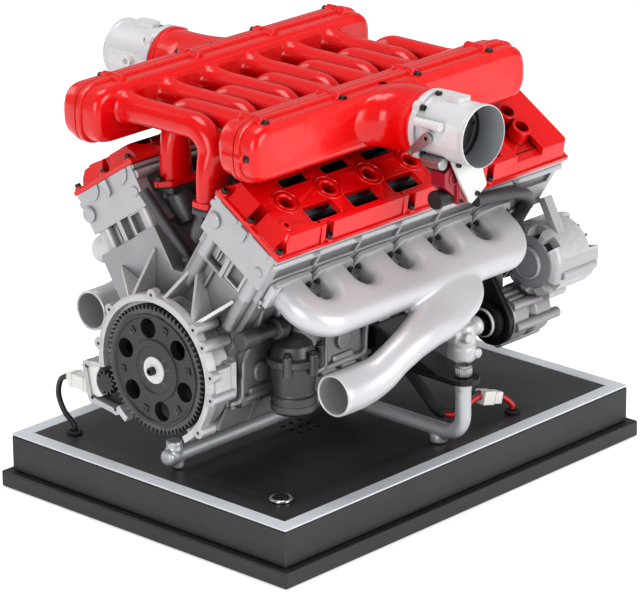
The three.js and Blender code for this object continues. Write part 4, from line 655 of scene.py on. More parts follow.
FLYWHEEL_BLACK = paint("flywheel_black", linear(46, 47, 49), 0.4, grain=2100, depth=0.02, patches=0.1,
                       uneven=0.08, edge=linear(98, 98, 100), lines=(40, 900, 900), line_depth=0.01,
                       specular=0.4)
BLACK_STEEL = paint("black_steel", linear(24, 24, 25), 0.34, metal=0.4, grain=1800, depth=0.015, patches=0.1,
                    edge=linear(70, 70, 72))
MATT_BLACK = paint("matt_black", linear(20, 20, 21), 0.6, grain=1900, depth=0.04, patches=0.12)
WHITE_MOULDING = paint("white_moulding", linear(232, 231, 226), 0.42, grain=900, depth=0.01, patches=0.03,
                       dust=0.1)
RUBBER = paint("grommet_rubber", linear(19, 19, 19), 0.78, grain=1400, depth=0.03, patches=0.1)
RED_MOULDING = paint("red_moulding", linear(150, 16, 38), 0.36, coat=0.2, grain=1100, depth=0.02,
                     patches=0.08, edge=linear(190, 50, 60))
RED_WIRE = paint("red_wire_skin", linear(196, 22, 26), 0.42, grain=900, depth=0.01, patches=0.04)
BLACK_WIRE = paint("black_wire_skin", linear(22, 22, 23), 0.45, grain=900, depth=0.01, patches=0.06)
WHITE_WIRE = paint("white_wire_skin", linear(226, 224, 220), 0.45, grain=900, depth=0.01, patches=0.04)
BOARD_GREEN = paint("board_lacquer", linear(32, 92, 54), 0.4, coat=0.3, grain=700, depth=0.01, patches=0.08)
DARK_INSIDE = paint("dark_inside", linear(30, 29, 29), 0.55, metal=0.3, grain=1200, depth=0.04, patches=0.15)
TAPE_WHITE = paint("blank_plate_skin", linear(222, 222, 220), 0.4, grain=1600, depth=0.008, patches=0.04)


# Fasteners

def fastener_tree():
    """Sets a fastener on every place, turned to its direction and drawn to its size."""
    tree = bpy.data.node_groups.new("set_fasteners", "GeometryNodeTree")
    tree.interface.new_socket("Geometry", in_out="INPUT", socket_type="NodeSocketGeometry")
    tree.interface.new_socket("Geometry", in_out="OUTPUT", socket_type="NodeSocketGeometry")
    tree.interface.new_socket("Fastener", in_out="INPUT", socket_type="NodeSocketObject")
    tree.interface.new_socket("Finish", in_out="INPUT", socket_type="NodeSocketMaterial")
    size = tree.interface.new_socket("Size", in_out="INPUT", socket_type="NodeSocketFloat")
    size.default_value = 1.0
    given, out = tree.nodes.new("NodeGroupInput"), tree.nodes.new("NodeGroupOutput")
    shape = tree.nodes.new("GeometryNodeObjectInfo")
    tree.links.new(given.outputs["Fastener"], shape.inputs["Object"])
    attributes = {}
    for label, kind in (("aim", "FLOAT_VECTOR"), ("draw", "FLOAT"), ("spin", "FLOAT")):
        node = tree.nodes.new("GeometryNodeInputNamedAttribute")
        node.data_type = kind
        node.inputs["Name"].default_value = label
        attributes[label] = node.outputs["Attribute"]
    turn = tree.nodes.new("FunctionNodeAlignRotationToVector")
    turn.axis = "Z"
    tree.links.new(attributes["aim"], turn.inputs["Vector"])
    about = tree.nodes.new("FunctionNodeAxisAngleToRotation")
    about.inputs["Axis"].default_value = (0, 0, 1)
    tree.links.new(attributes["spin"], about.inputs["Angle"])
    both = tree.nodes.new("FunctionNodeRotateRotation")
    both.rotation_space = "LOCAL"
    tree.links.new(turn.outputs["Rotation"], both.inputs[0])
    tree.links.new(about.outputs["Rotation"], both.inputs[1])
    scale = tree.nodes.new("ShaderNodeMath")
    scale.operation = "MULTIPLY"
    tree.links.new(attributes["draw"], scale.inputs[0])
    tree.links.new(given.outputs["Size"], scale.inputs[1])
    points = tree.nodes.new("GeometryNodeMeshToPoints")
    tree.links.new(given.outputs["Geometry"], points.inputs["Mesh"])
    setting = tree.nodes.new("GeometryNodeInstanceOnPoints")
    tree.links.new(points.outputs[0], setting.inputs["Points"])
    tree.links.new(shape.outputs["Geometry"], setting.inputs["Instance"])
    tree.links.new(both.outputs[0], setting.inputs["Rotation"])
    tree.links.new(scale.outputs[0], setting.inputs["Scale"])
    real = tree.nodes.new("GeometryNodeRealizeInstances")
    tree.links.new(setting.outputs[0], real.inputs[0])
    finish = tree.nodes.new("GeometryNodeSetMaterial")
    tree.links.new(real.outputs[0], finish.inputs["Geometry"])
    tree.links.new(given.outputs["Finish"], finish.inputs["Material"])
    tree.links.new(finish.outputs[0], out.inputs[0])
    return tree


FASTENER_TREE = fastener_tree()


def cap_screw():
    """A cap screw's head of radius 1, with a hexagon socket, standing on z = 0."""
    head = turned("cap_screw", "z", (0, 0), [(0, -0.4), (1, -0.4), (1, 1.1), (0.86, 1.3), (0, 1.3)], 20)
    return cut(head, prism("socket", "z", circle(0, 0, 0.55, 6), 0.7, 1.6))


def flanged_nut():
    nut = prism("nut", "z", softened(circle(0, 0, 1, 6), 0.12, steps=2), 0.0, 1.2)
    rim = turned("rim", "z", (0, 0), [(0, -0.3), (1.25, -0.3), (1.25, 0.1), (1, 0.3), (0, 0.3)], 20)
    tip = turned("tip", "z", (0, 0), [(0, 0.2), (0.5, 0.2), (0.5, 1.7), (0.4, 1.8), (0, 1.8)], 14)
    return gathered("flanged_nut", [nut, rim, tip])



def dark_hole():
    """Painted shade of a small bore: a dark shallow disc just proud of the face that it is in."""
    return turned("dark_hole", "z", (0, 0), [(0, -0.3), (0.5, -0.3), (0.5, 0.05), (0, 0.05)], 16)


TEMPLATES = {"screw": cap_screw(), "nut": flanged_nut(), "hole_shade": dark_hole()}


def fasteners(name, kind, places, material, body="base", size=1.0, matrix=None):
    """places holds (point, direction, radius) in millimetres."""
    matrix = matrix or Matrix.Identity(4)
    turn = matrix.to_3x3()
    mesh = bpy.data.meshes.new(name)
    mesh.from_pydata([(matrix @ Vector(point)) * MM for point, _, _ in places], [], [])
    for label, kind_of, values in (
            ("aim", "FLOAT_VECTOR", [tuple(turn @ Vector(direction)) for _, direction, _ in places]),
            ("draw", "FLOAT", [radius for _, _, radius in places]),
            ("spin", "FLOAT", [(index * 2.4) % 1.05 for index in range(len(places))])):
        attribute = mesh.attributes.new(label, kind_of, "POINT")
        field = "vector" if kind_of == "FLOAT_VECTOR" else "value"
        for item, value in zip(attribute.data, values):
            setattr(item, field, value)
    piece = linked(name, mesh)
    modifier = piece.modifiers.new("fasteners", "NODES")
    modifier.node_group = FASTENER_TREE
    sockets = {item.name: item.identifier for item in FASTENER_TREE.interface.items_tree
               if item.in_out == "INPUT"}
    modifier[sockets["Fastener"]] = TEMPLATES[kind]
    modifier[sockets["Finish"]] = material
    modifier[sockets["Size"]] = size
    plain(piece)
    return settled(piece, material, body)


# Plinth and stand

def plinth():
    foot = rounded(tier("plinth_foot", 150, 111, 0, 9.5), 1.1, 3)
    settled(foot, PLINTH_BLACK, nodes=["plinth_lower"])
    body = rounded(tier("plinth_body", 145.3, 106.3, 9.8, 30.5), 0.9, 3)
    cut(body, rod("button_hole", (*BUTTON, 14), (*BUTTON, 40), 5.7))
    settled(body, PLINTH_BLACK, nodes=["plinth_upper"])
    border = cut(tier("plinth_frame", 145.3, 106.3, 30.8, 32), tier("frame_opening", 136.4, 97.4, 30, 33))
    settled(rounded(border, 0.35, 2), BORDER_PALE, nodes=["plinth_border"])
    holes = [(*BUTTON, 5.7, 40)] + [(*place, 2.9, 40) for place in GROMMETS.values()]
    holes += [(-28.4 + along, -7.9 + across, 1.6, 20) for across in (-7, 0, 7) for along in (-7, 0, 7)]
    panel = cut(tier("plinth_top_panel", 136.1, 97.1, 30.8, PANEL_TOP),
                *[rod("panel_hole", (x, y, 30), (x, y, 33), radius, sides) for x, y, radius, sides in holes])
    settled(panel, PANEL_BLACK, nodes=["plinth_panel"])


def push_button():
    (x0, y0, _), (x1, y1, _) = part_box("button_bezel")
    centre, rim = ((x0 + x1) / 2 / MM, (y0 + y1) / 2 / MM), (x1 - x0) / 2 / MM
    foot, top = heights("button_bezel")
    profile = [(4.5, foot), (5.3, foot), (5.3, PANEL_TOP + 0.3), (rim, PANEL_TOP + 0.3), (rim, top - 0.7),
               (rim - 0.9, top), (4.9, top), (4.5, top - 0.5)]
    ring = ring_turned("button_ring", "z", centre, profile, 64, soft=0.25)
    settled(ring, CHROME, nodes=["button_bezel"])
    foot, top = heights("button_cap")
    profile = [(0, foot), (4.2, foot), (4.2, top - 0.6), (3.7, top - 0.1), (2.4, top), (2.1, top - 0.35),
               (0, top - 0.5)]
    cap = turned("button_head", "z", centre, profile, 56, soft=0.2)
    settled(cap, BLACK_STEEL, "button", ["button_cap"])


def grommets():
    for end, place in GROMMETS.items():
        foot, top = heights(f"grommet_{end}")
        profile = [(2.1, foot), (4.6, foot), (4.6, foot + 1), (2.8, foot + 1.2), (2.8, PANEL_TOP + 0.2),
                   (4.6, PANEL_TOP + 0.3), (4.4, top - 0.5), (3, top), (2.2, top - 0.3)]
        settled(ring_turned(f"lead_grommet_{end}", "z", place, profile, 48, soft=0.3), RUBBER,
                nodes=[f"grommet_{end}"])


def stand():
    half = [(STAND_REACH, 72)] + tube_bend(87.5, 52.4, 13, 0, -90)
    line = [(STAND_X, y, z) for y, z in half] + [(STAND_X, -y, z) for y, z in reversed(half)]
    post_top = heights("stand_frame")[0] + 16.8
    pieces = [swept("stand_legs", line, [STAND_TUBE] * len(line), up=(1, 0, 0), sides=36),
              rod("spine", (-126.5, 0, SPINE_LEVEL), (STAND_X, 0, SPINE_LEVEL), STAND_TUBE),
              turned("spine_cap", "x", (0, SPINE_LEVEL), [(0, -128.8), (3.4, -128.8), (4.75, -127.6),
                     (4.75, -125.5), (4.5, -125), (0, -125)], 40, soft=0.6),
              rod("post", (POST_X, 0, SPINE_LEVEL), (POST_X, 0, post_top), STAND_TUBE),
              turned("front_foot", "z", (-119, 0), [(0, 31.9), (3.5, 31.9), (3.5, 38), (0, 38)])]
    for side in (-1, 1):
        top = (STAND_X, side * STAND_REACH)
        pieces.append(turned("foot", "z", (STAND_X, side * 82.5), [(0, 31.9), (5, 31.9), (5, 35.4),
                             (4.2, 37.5), (0, 37.5)], soft=0.4))
        pieces.append(turned("leg_collar", "z", top, [(0, 68), (4.9, 68), (4.9, 71.6), (4.4, 72), (0, 72)],
                             soft=0.4))
        pieces.append(rod("stud", (*top, 70), (*top, 81), 2.4, 24))
    for axis, centre, middle in (("z", (POST_X, 0), 43.6), ("x", (0, SPINE_LEVEL), 1.8)):
        pieces.append(turned("weld", axis, centre, [(0, middle - 1.1), (4.6, middle - 1.1), (5.1, middle),
                             (4.6, middle + 1.1), (0, middle + 1.1)], soft=0.4))
    tubes = cast(gathered("stand_tubes", pieces), 0.75, 2)
    settled(tubes, STAND_SILVER, nodes=["stand_frame"], angle=60)


def engine_mounts():
    knurls = 96
    for bank in BANKS:
        side = BANKS[bank]["side"]
        foot, top = heights(f"mount_nut_{bank}")
        piece = copied(f"mount_bracket_{bank}", f"engine_mount_{bank}")
        beyond = [(31.6, side * 43.5), (15.8, side * 97), (60, side * 97), (60, side * 43.5)]
        cut(piece, prism("web_end", "z", beyond, foot - 9, 120))
        settled(rounded(piece, 0.5, 2), BLACK_STEEL, nodes=[f"mount_bracket_{bank}"])
        centre = (STAND_X, side * STAND_REACH)
        depths = [0.3 if step % 4 in (2, 3) else 0 for step in range(knurls)]
        knurl, drawn_in = ([polar(centre, (4.9 - depth) * share, 360 * step / knurls)
                            for step, depth in enumerate(depths)] for share in (1, 0.9))
        inner, rim = circle(*centre, 2.7, knurls), circle(*centre, 4.3, knurls)
        rings = [[(u, v, level) for u, v in outline] for outline, level in (
            (inner, foot), (drawn_in, foot), (knurl, foot + 0.5), (knurl, top - 1.2), (drawn_in, top - 0.8),
            (rim, top), (inner, top))]
        nut = skinned(f"knurled_nut_{bank}", rings, looped=True)
        settled(nut, TURNED_STEEL, nodes=[f"mount_nut_{bank}"])


# Crankcase

def block_details(bank):
    """The ribs, bosses, columns and rails that stand on one side of the block."""
    side, front = BANKS[bank]["side"], BANKS[bank]["front"]
    place, pieces = bank_matrix(bank), []
    for index in range(7):
        x = RIB_START + index * RIB_PITCH
        wall, far, up = (bank_point(side, *point) for point in ((25.2, 44), (25.2, 66), (29.5, 46)))
        outline = [(side * 34, 77), (side * 39.4, 78), (side * 40.4, 100), up, far,
                   (wall[0] - side * 3, wall[1])]
        pieces.append(prism("rib", "x", softened(outline, 1.2), x, x + 2.6))
        if index < 6:
            middle = x + 17.5
            root, tip = bank_point(side, 24.5, 58), bank_point(side, 28.6, 58)
            pieces.append(rod("boss", (middle, *root), (middle, *tip), 4.6, end_radius=4.1))
            pieces.append(rod("plug", (middle, side * 34, 90), (middle, side * 38.6, 90), 6.2,
                              end_radius=5.6))
            pieces.append(block("side_pad", x + 9, x + 26, *sorted((side * 34, side * 37.4)), 78, 82))
    edge = Matrix.Translation((0, *bank_point(side, 25.6, 71))) @ Matrix.Rotation(-side * BANK_TILT, 4, "X")
    pieces.append(block("deck_lip", -115, 99.5, -1.4, 1.4, -2.6, 0, edge))
    for offset in (-17.5, 17.5):
        pieces.append(rod("column", (front + 4.2, offset, 46), (front + 4.2, offset, 73), 3.8, 32, 4.1,
                          place))
    pieces.append(block("ledge", front + 1.2, front + 6, -17, 21, 68.6, 71.2, place))
    pieces.append(block("seam", front + 3.4, front + 6, -8.6, -6.8, 48, 69, place))
    rail = [(side * 34, 75.3), (side * 38.8, 75.3), (side * 38.8, 78.4), (side * 34, 79.6)]
    pieces.append(prism("pan_rail", "x", softened(rail, 0.6), -115, 99.5))
    return pieces


def engine_block():
    piece = rounded(copied("engine_block", "crankcase"), 0.9, 2)
    settled(piece, GREY_CASTING, nodes=["engine_block"])
    for bank in BANKS:
        side = BANKS[bank]["side"]
        ribs = cast(gathered(f"crankcase_ribs_{bank}", block_details(bank)), 0.8, 3)
        settled(ribs, GREY_CASTING, angle=60)
        outward = (0, side * math.cos(BANK_TILT), -math.sin(BANK_TILT))
        plugs = [((RIB_START + index * RIB_PITCH + 17.5, *bank_point(side, 28.4, 58)), outward, 2.3)
                 for index in range(6)]
        fasteners(f"crankcase_plugs_{bank}", "screw", plugs, GUNMETAL)
        under = [((RIB_START + index * 16.2, side * 37.2, 75.4), (0, 0, -1), 1.5) for index in range(13)]
        fasteners(f"pan_screws_{bank}", "screw", under, BLACK_STEEL)


def oil_pan():
    piece = rounded(copied("sump", "oil_pan"), 1.2, 3)
    settled(piece, GREY_CASTING, nodes=["sump"])
    outline = softened([(-25.8, 56.6), (25.8, 56.6), (33, 73), (-33, 73)], 2)
    bands = [prism("pan_band", "x", outline, x, x + 2.4) for x in range(-90, 71, 32)]
    settled(rounded(gathered("oil_pan_bands", bands), 0.5, 2), GREY_CASTING)


def oil_filter():
    centre = (-79.5, -51.6)
    profile = [(0, 67.5), (11.4, 67.5), (12.6, 69), (12.6, 77.5), (11.5, 78.6), (11.5, 79.6), (13.4, 94.5),
               (13.4, 95.4), (15, 96), (15, 100), (13.2, 100.8), (12.6, 101.5), (10.6, 107), (6, 111),
               (0, 112)]
    can = turned("oil_filter_can", "z", centre, profile, 72, soft=0.5)
    settled(can, GUNMETAL, nodes=["oil_filter"])
    pieces, screws = [], []
    for level, reach in ((71.2, 13), (98, 15.2)):
        profile = [(12, level - 1.9), (reach, level - 1.9), (reach, level + 1.9), (12, level + 1.9)]
        pieces.append(ring_turned("clamp", "z", centre, profile, 64, soft=0.3))
    for angle in (210, 270, 330):
        ear = polar(centre, 15, angle)
        pieces.append(turned("ear", "z", ear, [(0, 92), (2.6, 92), (2.6, 103.4), (2.2, 104), (0, 104)], 28,
                             soft=0.3))
        screws.append(((*ear, 103.6), (0, 0, 1), 1.7))
    settled(gathered("oil_filter_clamps", pieces), ANTHRACITE)
    fasteners("oil_filter_screws", "screw", screws, BLACK_STEEL)


def pipes():
    profile = [(0, -124), (4.7, -124), (5.4, -123.3), (5.4, -112.6), (4.8, -112), (3.6, -111.6), (3.6, -97.2),
               (5.6, -97), (6, -96.4), (6, -90.4), (5.6, -90), (0, -90)]
    settled(turned("side_pipe_tube", "x", bank_point(-1, 31.3, 51), profile, 48, soft=0.4), GUNMETAL,
            nodes=["side_pipe"])
    foot, _ = heights("valley_pipe")
    line = curved([(-121, 20, 189), (-114.5, 10.5, 171), (-108, 1.2, 154), (-107, 0, foot + 3)], 8)
    upper = swept("upper", line, [3.2] * len(line), up=(1, 0, 0), sides=24)
    profile = [(0, foot), (3.2, foot), (3.2, foot + 3.2), (4.4, foot + 3.6), (4.4, foot + 6.2),
               (3.6, foot + 6.5), (0, foot + 6.5)]
    collar = turned("collar", "z", (-107, 0), profile, 36, soft=0.3)
    settled(gathered("valley_pipe_tube", [upper, collar]), GUNMETAL, nodes=["valley_pipe"])


def rear_cover():
    piece = rounded(copied("timing_cover", "timing_case"), 0.9, 2)
    settled(piece, CAST_ALUMINIUM, nodes=["timing_cover"])
    places = []
    for side in (-1, 1):
        places += [bank_point(side, *point) for point in ((22, 46), (22, 64), (-21, 66), (0, 68))]
        places += [(side * 32, 80), (side * 32, 92), (side * 32, 101), (side * 14, 80)]
    screws = [((116, *place), (1, 0, 0), 1.9) for place in places]
    fasteners("timing_case_screws", "screw", screws, BLACK_STEEL)
    ribs = []
    for angle in (20, 55, 90, 125, 160):
        outline = []
        for reach, half in ((13.5, 0.9), (13.5, -0.9), (29, -0.9), (29, 0.9)):
            outline.append(polar(polar(CRANK, reach, angle), half, angle + 90))
        ribs.append(prism("case_rib", "x", outline, 115.6, 118.2))
    settled(rounded(gathered("timing_case_ribs", ribs), 0.4, 2), CAST_ALUMINIUM)


# Bell housing and flywheel

def bell_outline(reach, wide):
    """The bell's circle, and the starter's pocket beside it."""
    corners = [(53, 83), (49.5, 66), (31, 63.5)]
    pocket = hull([point for corner in corners for point in circle(*corner, wide, 24)] + [CRANK])
    return circle(*CRANK, reach, 96), pocket


def bell_lobes():
    """The screw lobes round the rim, with the places of their holes."""
    rim = ((89, -131.6), (39, -131.6), (7, -131.6), (135, -119), (149.5, -117), (172, -131), (189.5, -119),
           (220.5, -125))
    places = [(*polar(CRANK, 43.4, angle), back) for angle, back in rim]
    places += [(53.3, 83.2, -131.6), (49.2, 65.2, -131.6), (31, 62.8, -131.6)]
    lobes = [turned("lobe", "x", (y, z), [(0, BELL_FACE), (3.3, BELL_FACE), (3.3, back), (2.9, back + 0.6),
                    (0, back + 0.6)], 28, soft=0.3) for y, z, back in places]
    return lobes, [((BELL_FACE, y, z), (-1, 0, 0), 1.9) for y, z, _ in places]


def bell_gusset(angle, side, offset):
    """A thin web from the rim up to the front of a bank."""
    base, tip = polar(CRANK, 41.25, angle), bank_point(side, offset, 61)
    run = Vector((tip[0] - base[0], tip[1] - base[1]))
    across = Vector((-run.y, run.x)).normalized() * 0.95
    middle = ((base[0] + tip[0]) / 2, (base[1] + tip[1]) / 2)
    outline = [(-134, base), (-125.4, middle), (-116.9, tip), (BELL_BACK, tip), (BELL_BACK, base)]
    return skinned("gusset", [[(x, y + sign * across.x, z + sign * across.y) for x, (y, z) in outline]
                              for sign in (-1, 1)])


def bell_housing():
    ring, pocket = bell_outline(43, 3.4)
    shell, _ = bell_outline(38.7, 3.4)
    outer = joined(prism("bell_rim", "x", ring, BELL_FACE, -130.2),
                   prism("bell_shell", "x", shell, -131.5, BELL_BACK),
                   prism("pocket", "x", pocket, BELL_FACE, BELL_BACK))
    lobes, holes = bell_lobes()
    webs = ((97, -1, -19), (131, -1, -19), (131, -1, 12), (64, 1, -19), (61, 1, 12))
    body = joined(outer, block("side_step", -132.4, -117, -43.6, -36, 87.8, 102.6),
                  block("side_ear", -120.5, -116.6, -44, -36, 85.8, 104.2),
                  *lobes, *[bell_gusset(*web) for web in webs])
    inner_ring, inner_pocket = bell_outline(39.3, 0.3)
    deep_ring, _ = bell_outline(36.9, 0.3)
    opening = circle(*CRANK, 36.3, 16, 238, 65) + circle(*CRANK, 52, 16, 303, -65)
    motor = polar(CRANK, MOTOR_REACH, STARTER_ANGLE)
    before, floor = -138, -119.5
    cut(body, prism("rim_room", "x", inner_ring, before, -130.9), prism("room", "x", deep_ring, -131, floor),
        prism("pocket_room", "x", inner_pocket, before, floor), prism("opening", "x", opening, before, floor),
        rod("motor_room", (before, *motor), (floor, *motor), 8.3, 48),
        rod("bore", (-137, *CRANK), (-110, *CRANK), 13, 56))
    settled(rounded(body, 0.4, 2, 34), CAST_ALUMINIUM, nodes=["bell_housing"])
    # Painted shade: dark discs in the lobes' screw holes.
    fasteners("bell_housing_holes", "hole_shade", holes, MATT_BLACK)
    fasteners("bell_housing_screw", "screw", [((-118.6, -41.4, 85.8), (0, 0, -1), 2.3)], BLACK_STEEL)
    # Painted shade: a matt black floor behind the flywheel, so that the gap round the ring gear and the holes
    # look dark.
    shade_floors = [prism("floor", "x", deep_ring, -120.1, -119.4),
              prism("floor", "x", inner_pocket, -120.2, -119.3)]
    settled(gathered("bell_housing_floor", shade_floors), MATT_BLACK)


def gear_outline(teeth, start):
    """A spur gear's outline of 1 mm module."""
    pitch, step = teeth / 2, 2 * math.pi / teeth
    tip, root = pitch + 0.9, pitch - 1.6
    outline = []
    for tooth in range(teeth):
        middle = start + tooth * step
        for share, radius in ((-0.3, root), (-0.25, root), (-0.17, pitch), (-0.1, tip), (0.1, tip),
                              (0.17, pitch), (0.25, root), (0.3, root)):
            angle = middle + share * step
            outline.append((radius * math.cos(angle), CRANK_HEIGHT + radius * math.sin(angle)))
    return outline


def flywheel():
    teeth = prism("ring_gear", "x", gear_outline(RING_GEAR_TEETH, math.radians(STARTER_ANGLE)), -135.2,
                  -131.4)
    cut(teeth, rod("seat", (-137, *CRANK), (-130, *CRANK), 31.6, 96))
    settled(rounded(teeth, 0.18, 1, 40), FLYWHEEL_BLACK, "crank")
    profile = [(0, -129.6), (31.8, -129.6), (31.8, -135.9), (30.4, -135.9), (29.6, -134.9), (17.6, -134.9),
               (17.2, -135.9), (13.8, -135.9), (13.2, -135.2), (0, -135.2)]
    disc = turned("flywheel_disc", "x", CRANK, profile, 96, soft=0.25)
    places = [polar(CRANK, 23.6, 18.5 + 60 * index) for index in range(6)]
    cut(disc, *[rod("lightening", (-138, *place), (-128, *place), 5.7, 40) for place in places],
        rod("hub_bore", (-138, *CRANK), (-128, *CRANK), 7.75, 64))
    pads, holes = [], []
    for index in range(6):
        angle = 48.5 + 60 * index
        place = polar(CRANK, 25.6, angle)
        pad = [polar(place, 2.9, angle + 45 + 90 * corner) for corner in range(4)]
        pads.append(prism("pad", "x", softened(pad, 0.7), -135.6, -134))
        holes.append(((-135.6, *place), (-1, 0, 0), 2.2))
    face = rounded(gathered("flywheel_face", [disc] + pads), 0.25, 2, 40)
    settled(face, FLYWHEEL_BLACK, "crank", ["flywheel"])
    # Painted shade: dark discs in the pads' holes.
    fasteners("flywheel_holes", "hole_shade", holes, MATT_BLACK, "crank")


def crankshaft():
    hub_face = -136.4
    profile = [(0, hub_face), (7.3, hub_face), (7.7, hub_face + 0.4), (7.7, -123.5), (0, -123.5)]
    settled(turned("crank_hub", "x", CRANK, profile, 72, soft=0.2), TAPE_WHITE, "crank")
    coated("crankshaft", TAPE_WHITE)
    fasteners("crank_end_screw", "screw", [((hub_face, *CRANK), (-1, 0, 0), 2.4)], BLACK_STEEL, "crank")
    profile = [(0, 140.9), (21.6, 140.9), (21.6, 142.5), (20, 143), (19, 144), (20, 145), (19, 146),
               (20, 147), (19, 148), (20, 149.2), (21.6, 149.6), (21.6, 151.1), (16.5, 151.1), (15.5, 149.4),
               (10, 149.4), (9.4, 151.1), (0, 151.1)]
    pulley = turned("damper_pulley", "x", CRANK, profile, 80, soft=0.2)
    cut(pulley, rod("nose_bore", (130, *CRANK), (150.3, *CRANK), 6.3, 40))
    settled(pulley, BLACK_STEEL, "crank", ["crank_pulley"])


def starter_drive():
    centre = polar(CRANK, MOTOR_REACH, STARTER_ANGLE)
    profile = [(0, -128.7), (7.4, -128.7), (8, -128), (8, -121.4), (7.4, -120.6), (0, -120.6)]
    can = turned("motor_can", "x", centre, profile, 48, soft=0.4)
    settled(can, WHITE_MOULDING, nodes=["drive_motor"])
    nose = rounded(copied("motor_nose", "motor_nose_plate"), 0.3, 2)
    settled(nose, WHITE_MOULDING, nodes=["motor_nose"])
    moon = [(54.6, 81.4), (47.6, 85.6), (43.6, 84.6), (46.4, 79.4), (46.9, 76.2), (46.4, 72.8), (44.2, 69.6),
            (41.6, 67.8), (46, 66), (52.3, 67.2), (55.8, 73.2)]
    face = rounded(prism("motor_face", "x", softened(moon, 1.2), -134.6, -131), 0.3, 2)
    settled(face, WHITE_MOULDING)
    _, pocket = bell_outline(39.3, 0.5)
    backing = cut(prism("pocket_backing", "x", pocket, -130.9, -130.2),
                  rod("gear_room", (-132, *CRANK), (-129, *CRANK), 38.2, 96),
                  rod("motor_room", (-132, *centre), (-129, *centre), 8.2, 40))
    settled(backing, MATT_BLACK)
    coated("drive_pinion", BLACK_STEEL)


# Cylinder heads and valve covers

def head_body(bank):
    front, place = BANKS[bank]["front"], bank_matrix(bank)
    tools = [block("foot_recess", front - 2, front + 5, -30, 30, 70, 84.2, place)]
    for offset in (-12.5, 12.5):
        arch = circle(offset, CAM_LEVEL, 7.2, 12, 180, 180) + [(offset + 7.2, 110), (offset - 7.2, 110)]
        tools.append(prism("cam_trough", "x", arch, front + 9, HEAD_BACK - 9, place))
        tools.append(rod("cam_bore", (front + 1, offset, CAM_LEVEL), (HEAD_BACK + 2, offset, CAM_LEVEL), 3.4,
                         28, matrix=place))
    for x in (bore_x(bank, index) for index in range(6)):
        tools.append(rod("well", (x, 0, 84), (x, 0, 110), 3.5, 28, matrix=place))
    for side in (-1, 1):
        tools.append(block("long_recess", front + 8, HEAD_BACK - 4, *sorted((side * 23, side * 30)), 89.6,
                           99.4, place))
    return cut(block("head_body", front, HEAD_BACK, -25, 25, 72.3, 108, place), *tools)


def head_face(bank):
    """The panel, bar, moons and bosses of the front face. The two heads have them in different places."""
    front, place, near = BANKS[bank]["front"], bank_matrix(bank), bank == "near"
    window, bar = ((3.4, 12.4), (-1.4, 1.4)) if near else ((-17, -7), (0.6, 3.8))
    high_boss, low_boss = ((-19.2, 95.4), (19.4, 93.2)) if near else ((21.4, 95.4), (-19.6, 94.2))
    pieces = []
    for side in (-1, 1):
        foot, top = ((front + 4.2, side * 17.5, level) for level in (70, 85))
        pieces.append(rod("column", foot, top, 4.1, 36, matrix=place))
        pieces.append(prism("cam_end", "x", circle(side * 13.4, 108, 7.4, 24, 180, 180), front - 0.8,
                            front + 2, place))
    panel = prism("window_panel", "x", rectangle(window[0] - 2, window[1] + 2, 71.6, 84.4), front + 1,
                  front + 5.5, place)
    cut(panel, prism("window", "x", rectangle(*window, 73, 83.4), front - 1, front + 4, place))
    pieces += [panel, prism("bar", "x", rectangle(*bar, 70.5, 84.4), front - 0.3, front + 5.5, place)]
    outline = hull(circle(0, 101.4, 2.9, 28) + [(-2.9, 107.8), (2.9, 107.8)])
    pieces.append(prism("bolt_boss", "x", outline, front - 1.6, front + 2, place))
    pieces.append(turned("side_boss", "x", high_boss, [(0, front + 4), (4.7, front + 4), (4.7, front - 1.4),
                         (4.1, front - 2), (0, front - 2)], 40, place, 0.4))
    pieces.append(turned("low_boss", "x", low_boss, [(0, front + 3), (3, front + 3), (3, front - 0.5),
                         (2.6, front - 0.8), (0, front - 0.8)], 32, place, 0.2))
    for offset in (-7.2, -9.2) if near else (7.2, 9.2):
        outline = rectangle(offset - 0.5, offset + 0.5, 74, 82)
        pieces.append(prism("louvre", "x", outline, front + 3, front + 5.5, place))
    return pieces


def head_rails(bank):
    front, place, pieces = BANKS[bank]["front"], bank_matrix(bank), []
    for side in (-1, 1):
        pieces.append(rod("rail", (front + 0.6, side * 25, 102), (HEAD_BACK - 0.6, side * 25, 102), 2.5, 28,
                          matrix=place))
        pieces.append(block("lip", front + 0.4, HEAD_BACK - 0.4, *sorted((side * 24, side * 26.4)), 105.4,
                            107.9, place))
        for index in range(6):
            x = bore_x(bank, index) + 8.6
            pieces.append(rod("bracket", (x, side * 25.4, 105), (x, side * 24.6, 97.6), 3.1, 24, 1.0, place))
            pieces.append(block("pillar", x + 7, x + 9.4, *sorted((side * 22, side * 25)), 86, 101, place))
        pieces.append(block("deck_lip", front + 6, HEAD_BACK, *sorted((side * 24.4, side * 26.8)), 72.4, 75.2,
                            place))
    return pieces


def cylinder_head(bank):
    casting = gathered(f"head_casting_{bank}", [head_body(bank)] + head_face(bank))
    settled(rounded(casting, 0.45, 2, 36), CAST_ALUMINIUM, nodes=[f"head_{bank}"])
    rails = gathered(f"head_rails_{bank}", head_rails(bank))
    settled(rounded(rails, 0.4, 2), CAST_ALUMINIUM)


def camshaft(bank, kind):
    front, place, offset = BANKS[bank]["front"], bank_matrix(bank), CAM_OFFSETS[kind]
    pieces = [rod("shaft", (front + 1.2, offset, CAM_LEVEL), (HEAD_BACK - 1.2, offset, CAM_LEVEL), 3, 32,
                  matrix=place)]
    for index, turn in enumerate((0, 120, 240, 60, 300, 180)):
        middle = bore_x(bank, index) + 9.5
        outline = []
        for step in range(40):
            angle = 360 * step / 40
            radius = 3.8 + 1.9 * max(0, math.cos(math.radians(angle))) ** 3
            outline.append(polar((offset, CAM_LEVEL), radius, angle + turn))
        pieces.append(prism("lobe", "x", outline, middle - 2.5, middle + 2.5, place))
    settled(gathered(f"cam_{bank}_{kind}_shaft", pieces), BLACK_STEEL, f"cam_{bank}_{kind}",
            [f"camshaft_{bank}_{kind}"])


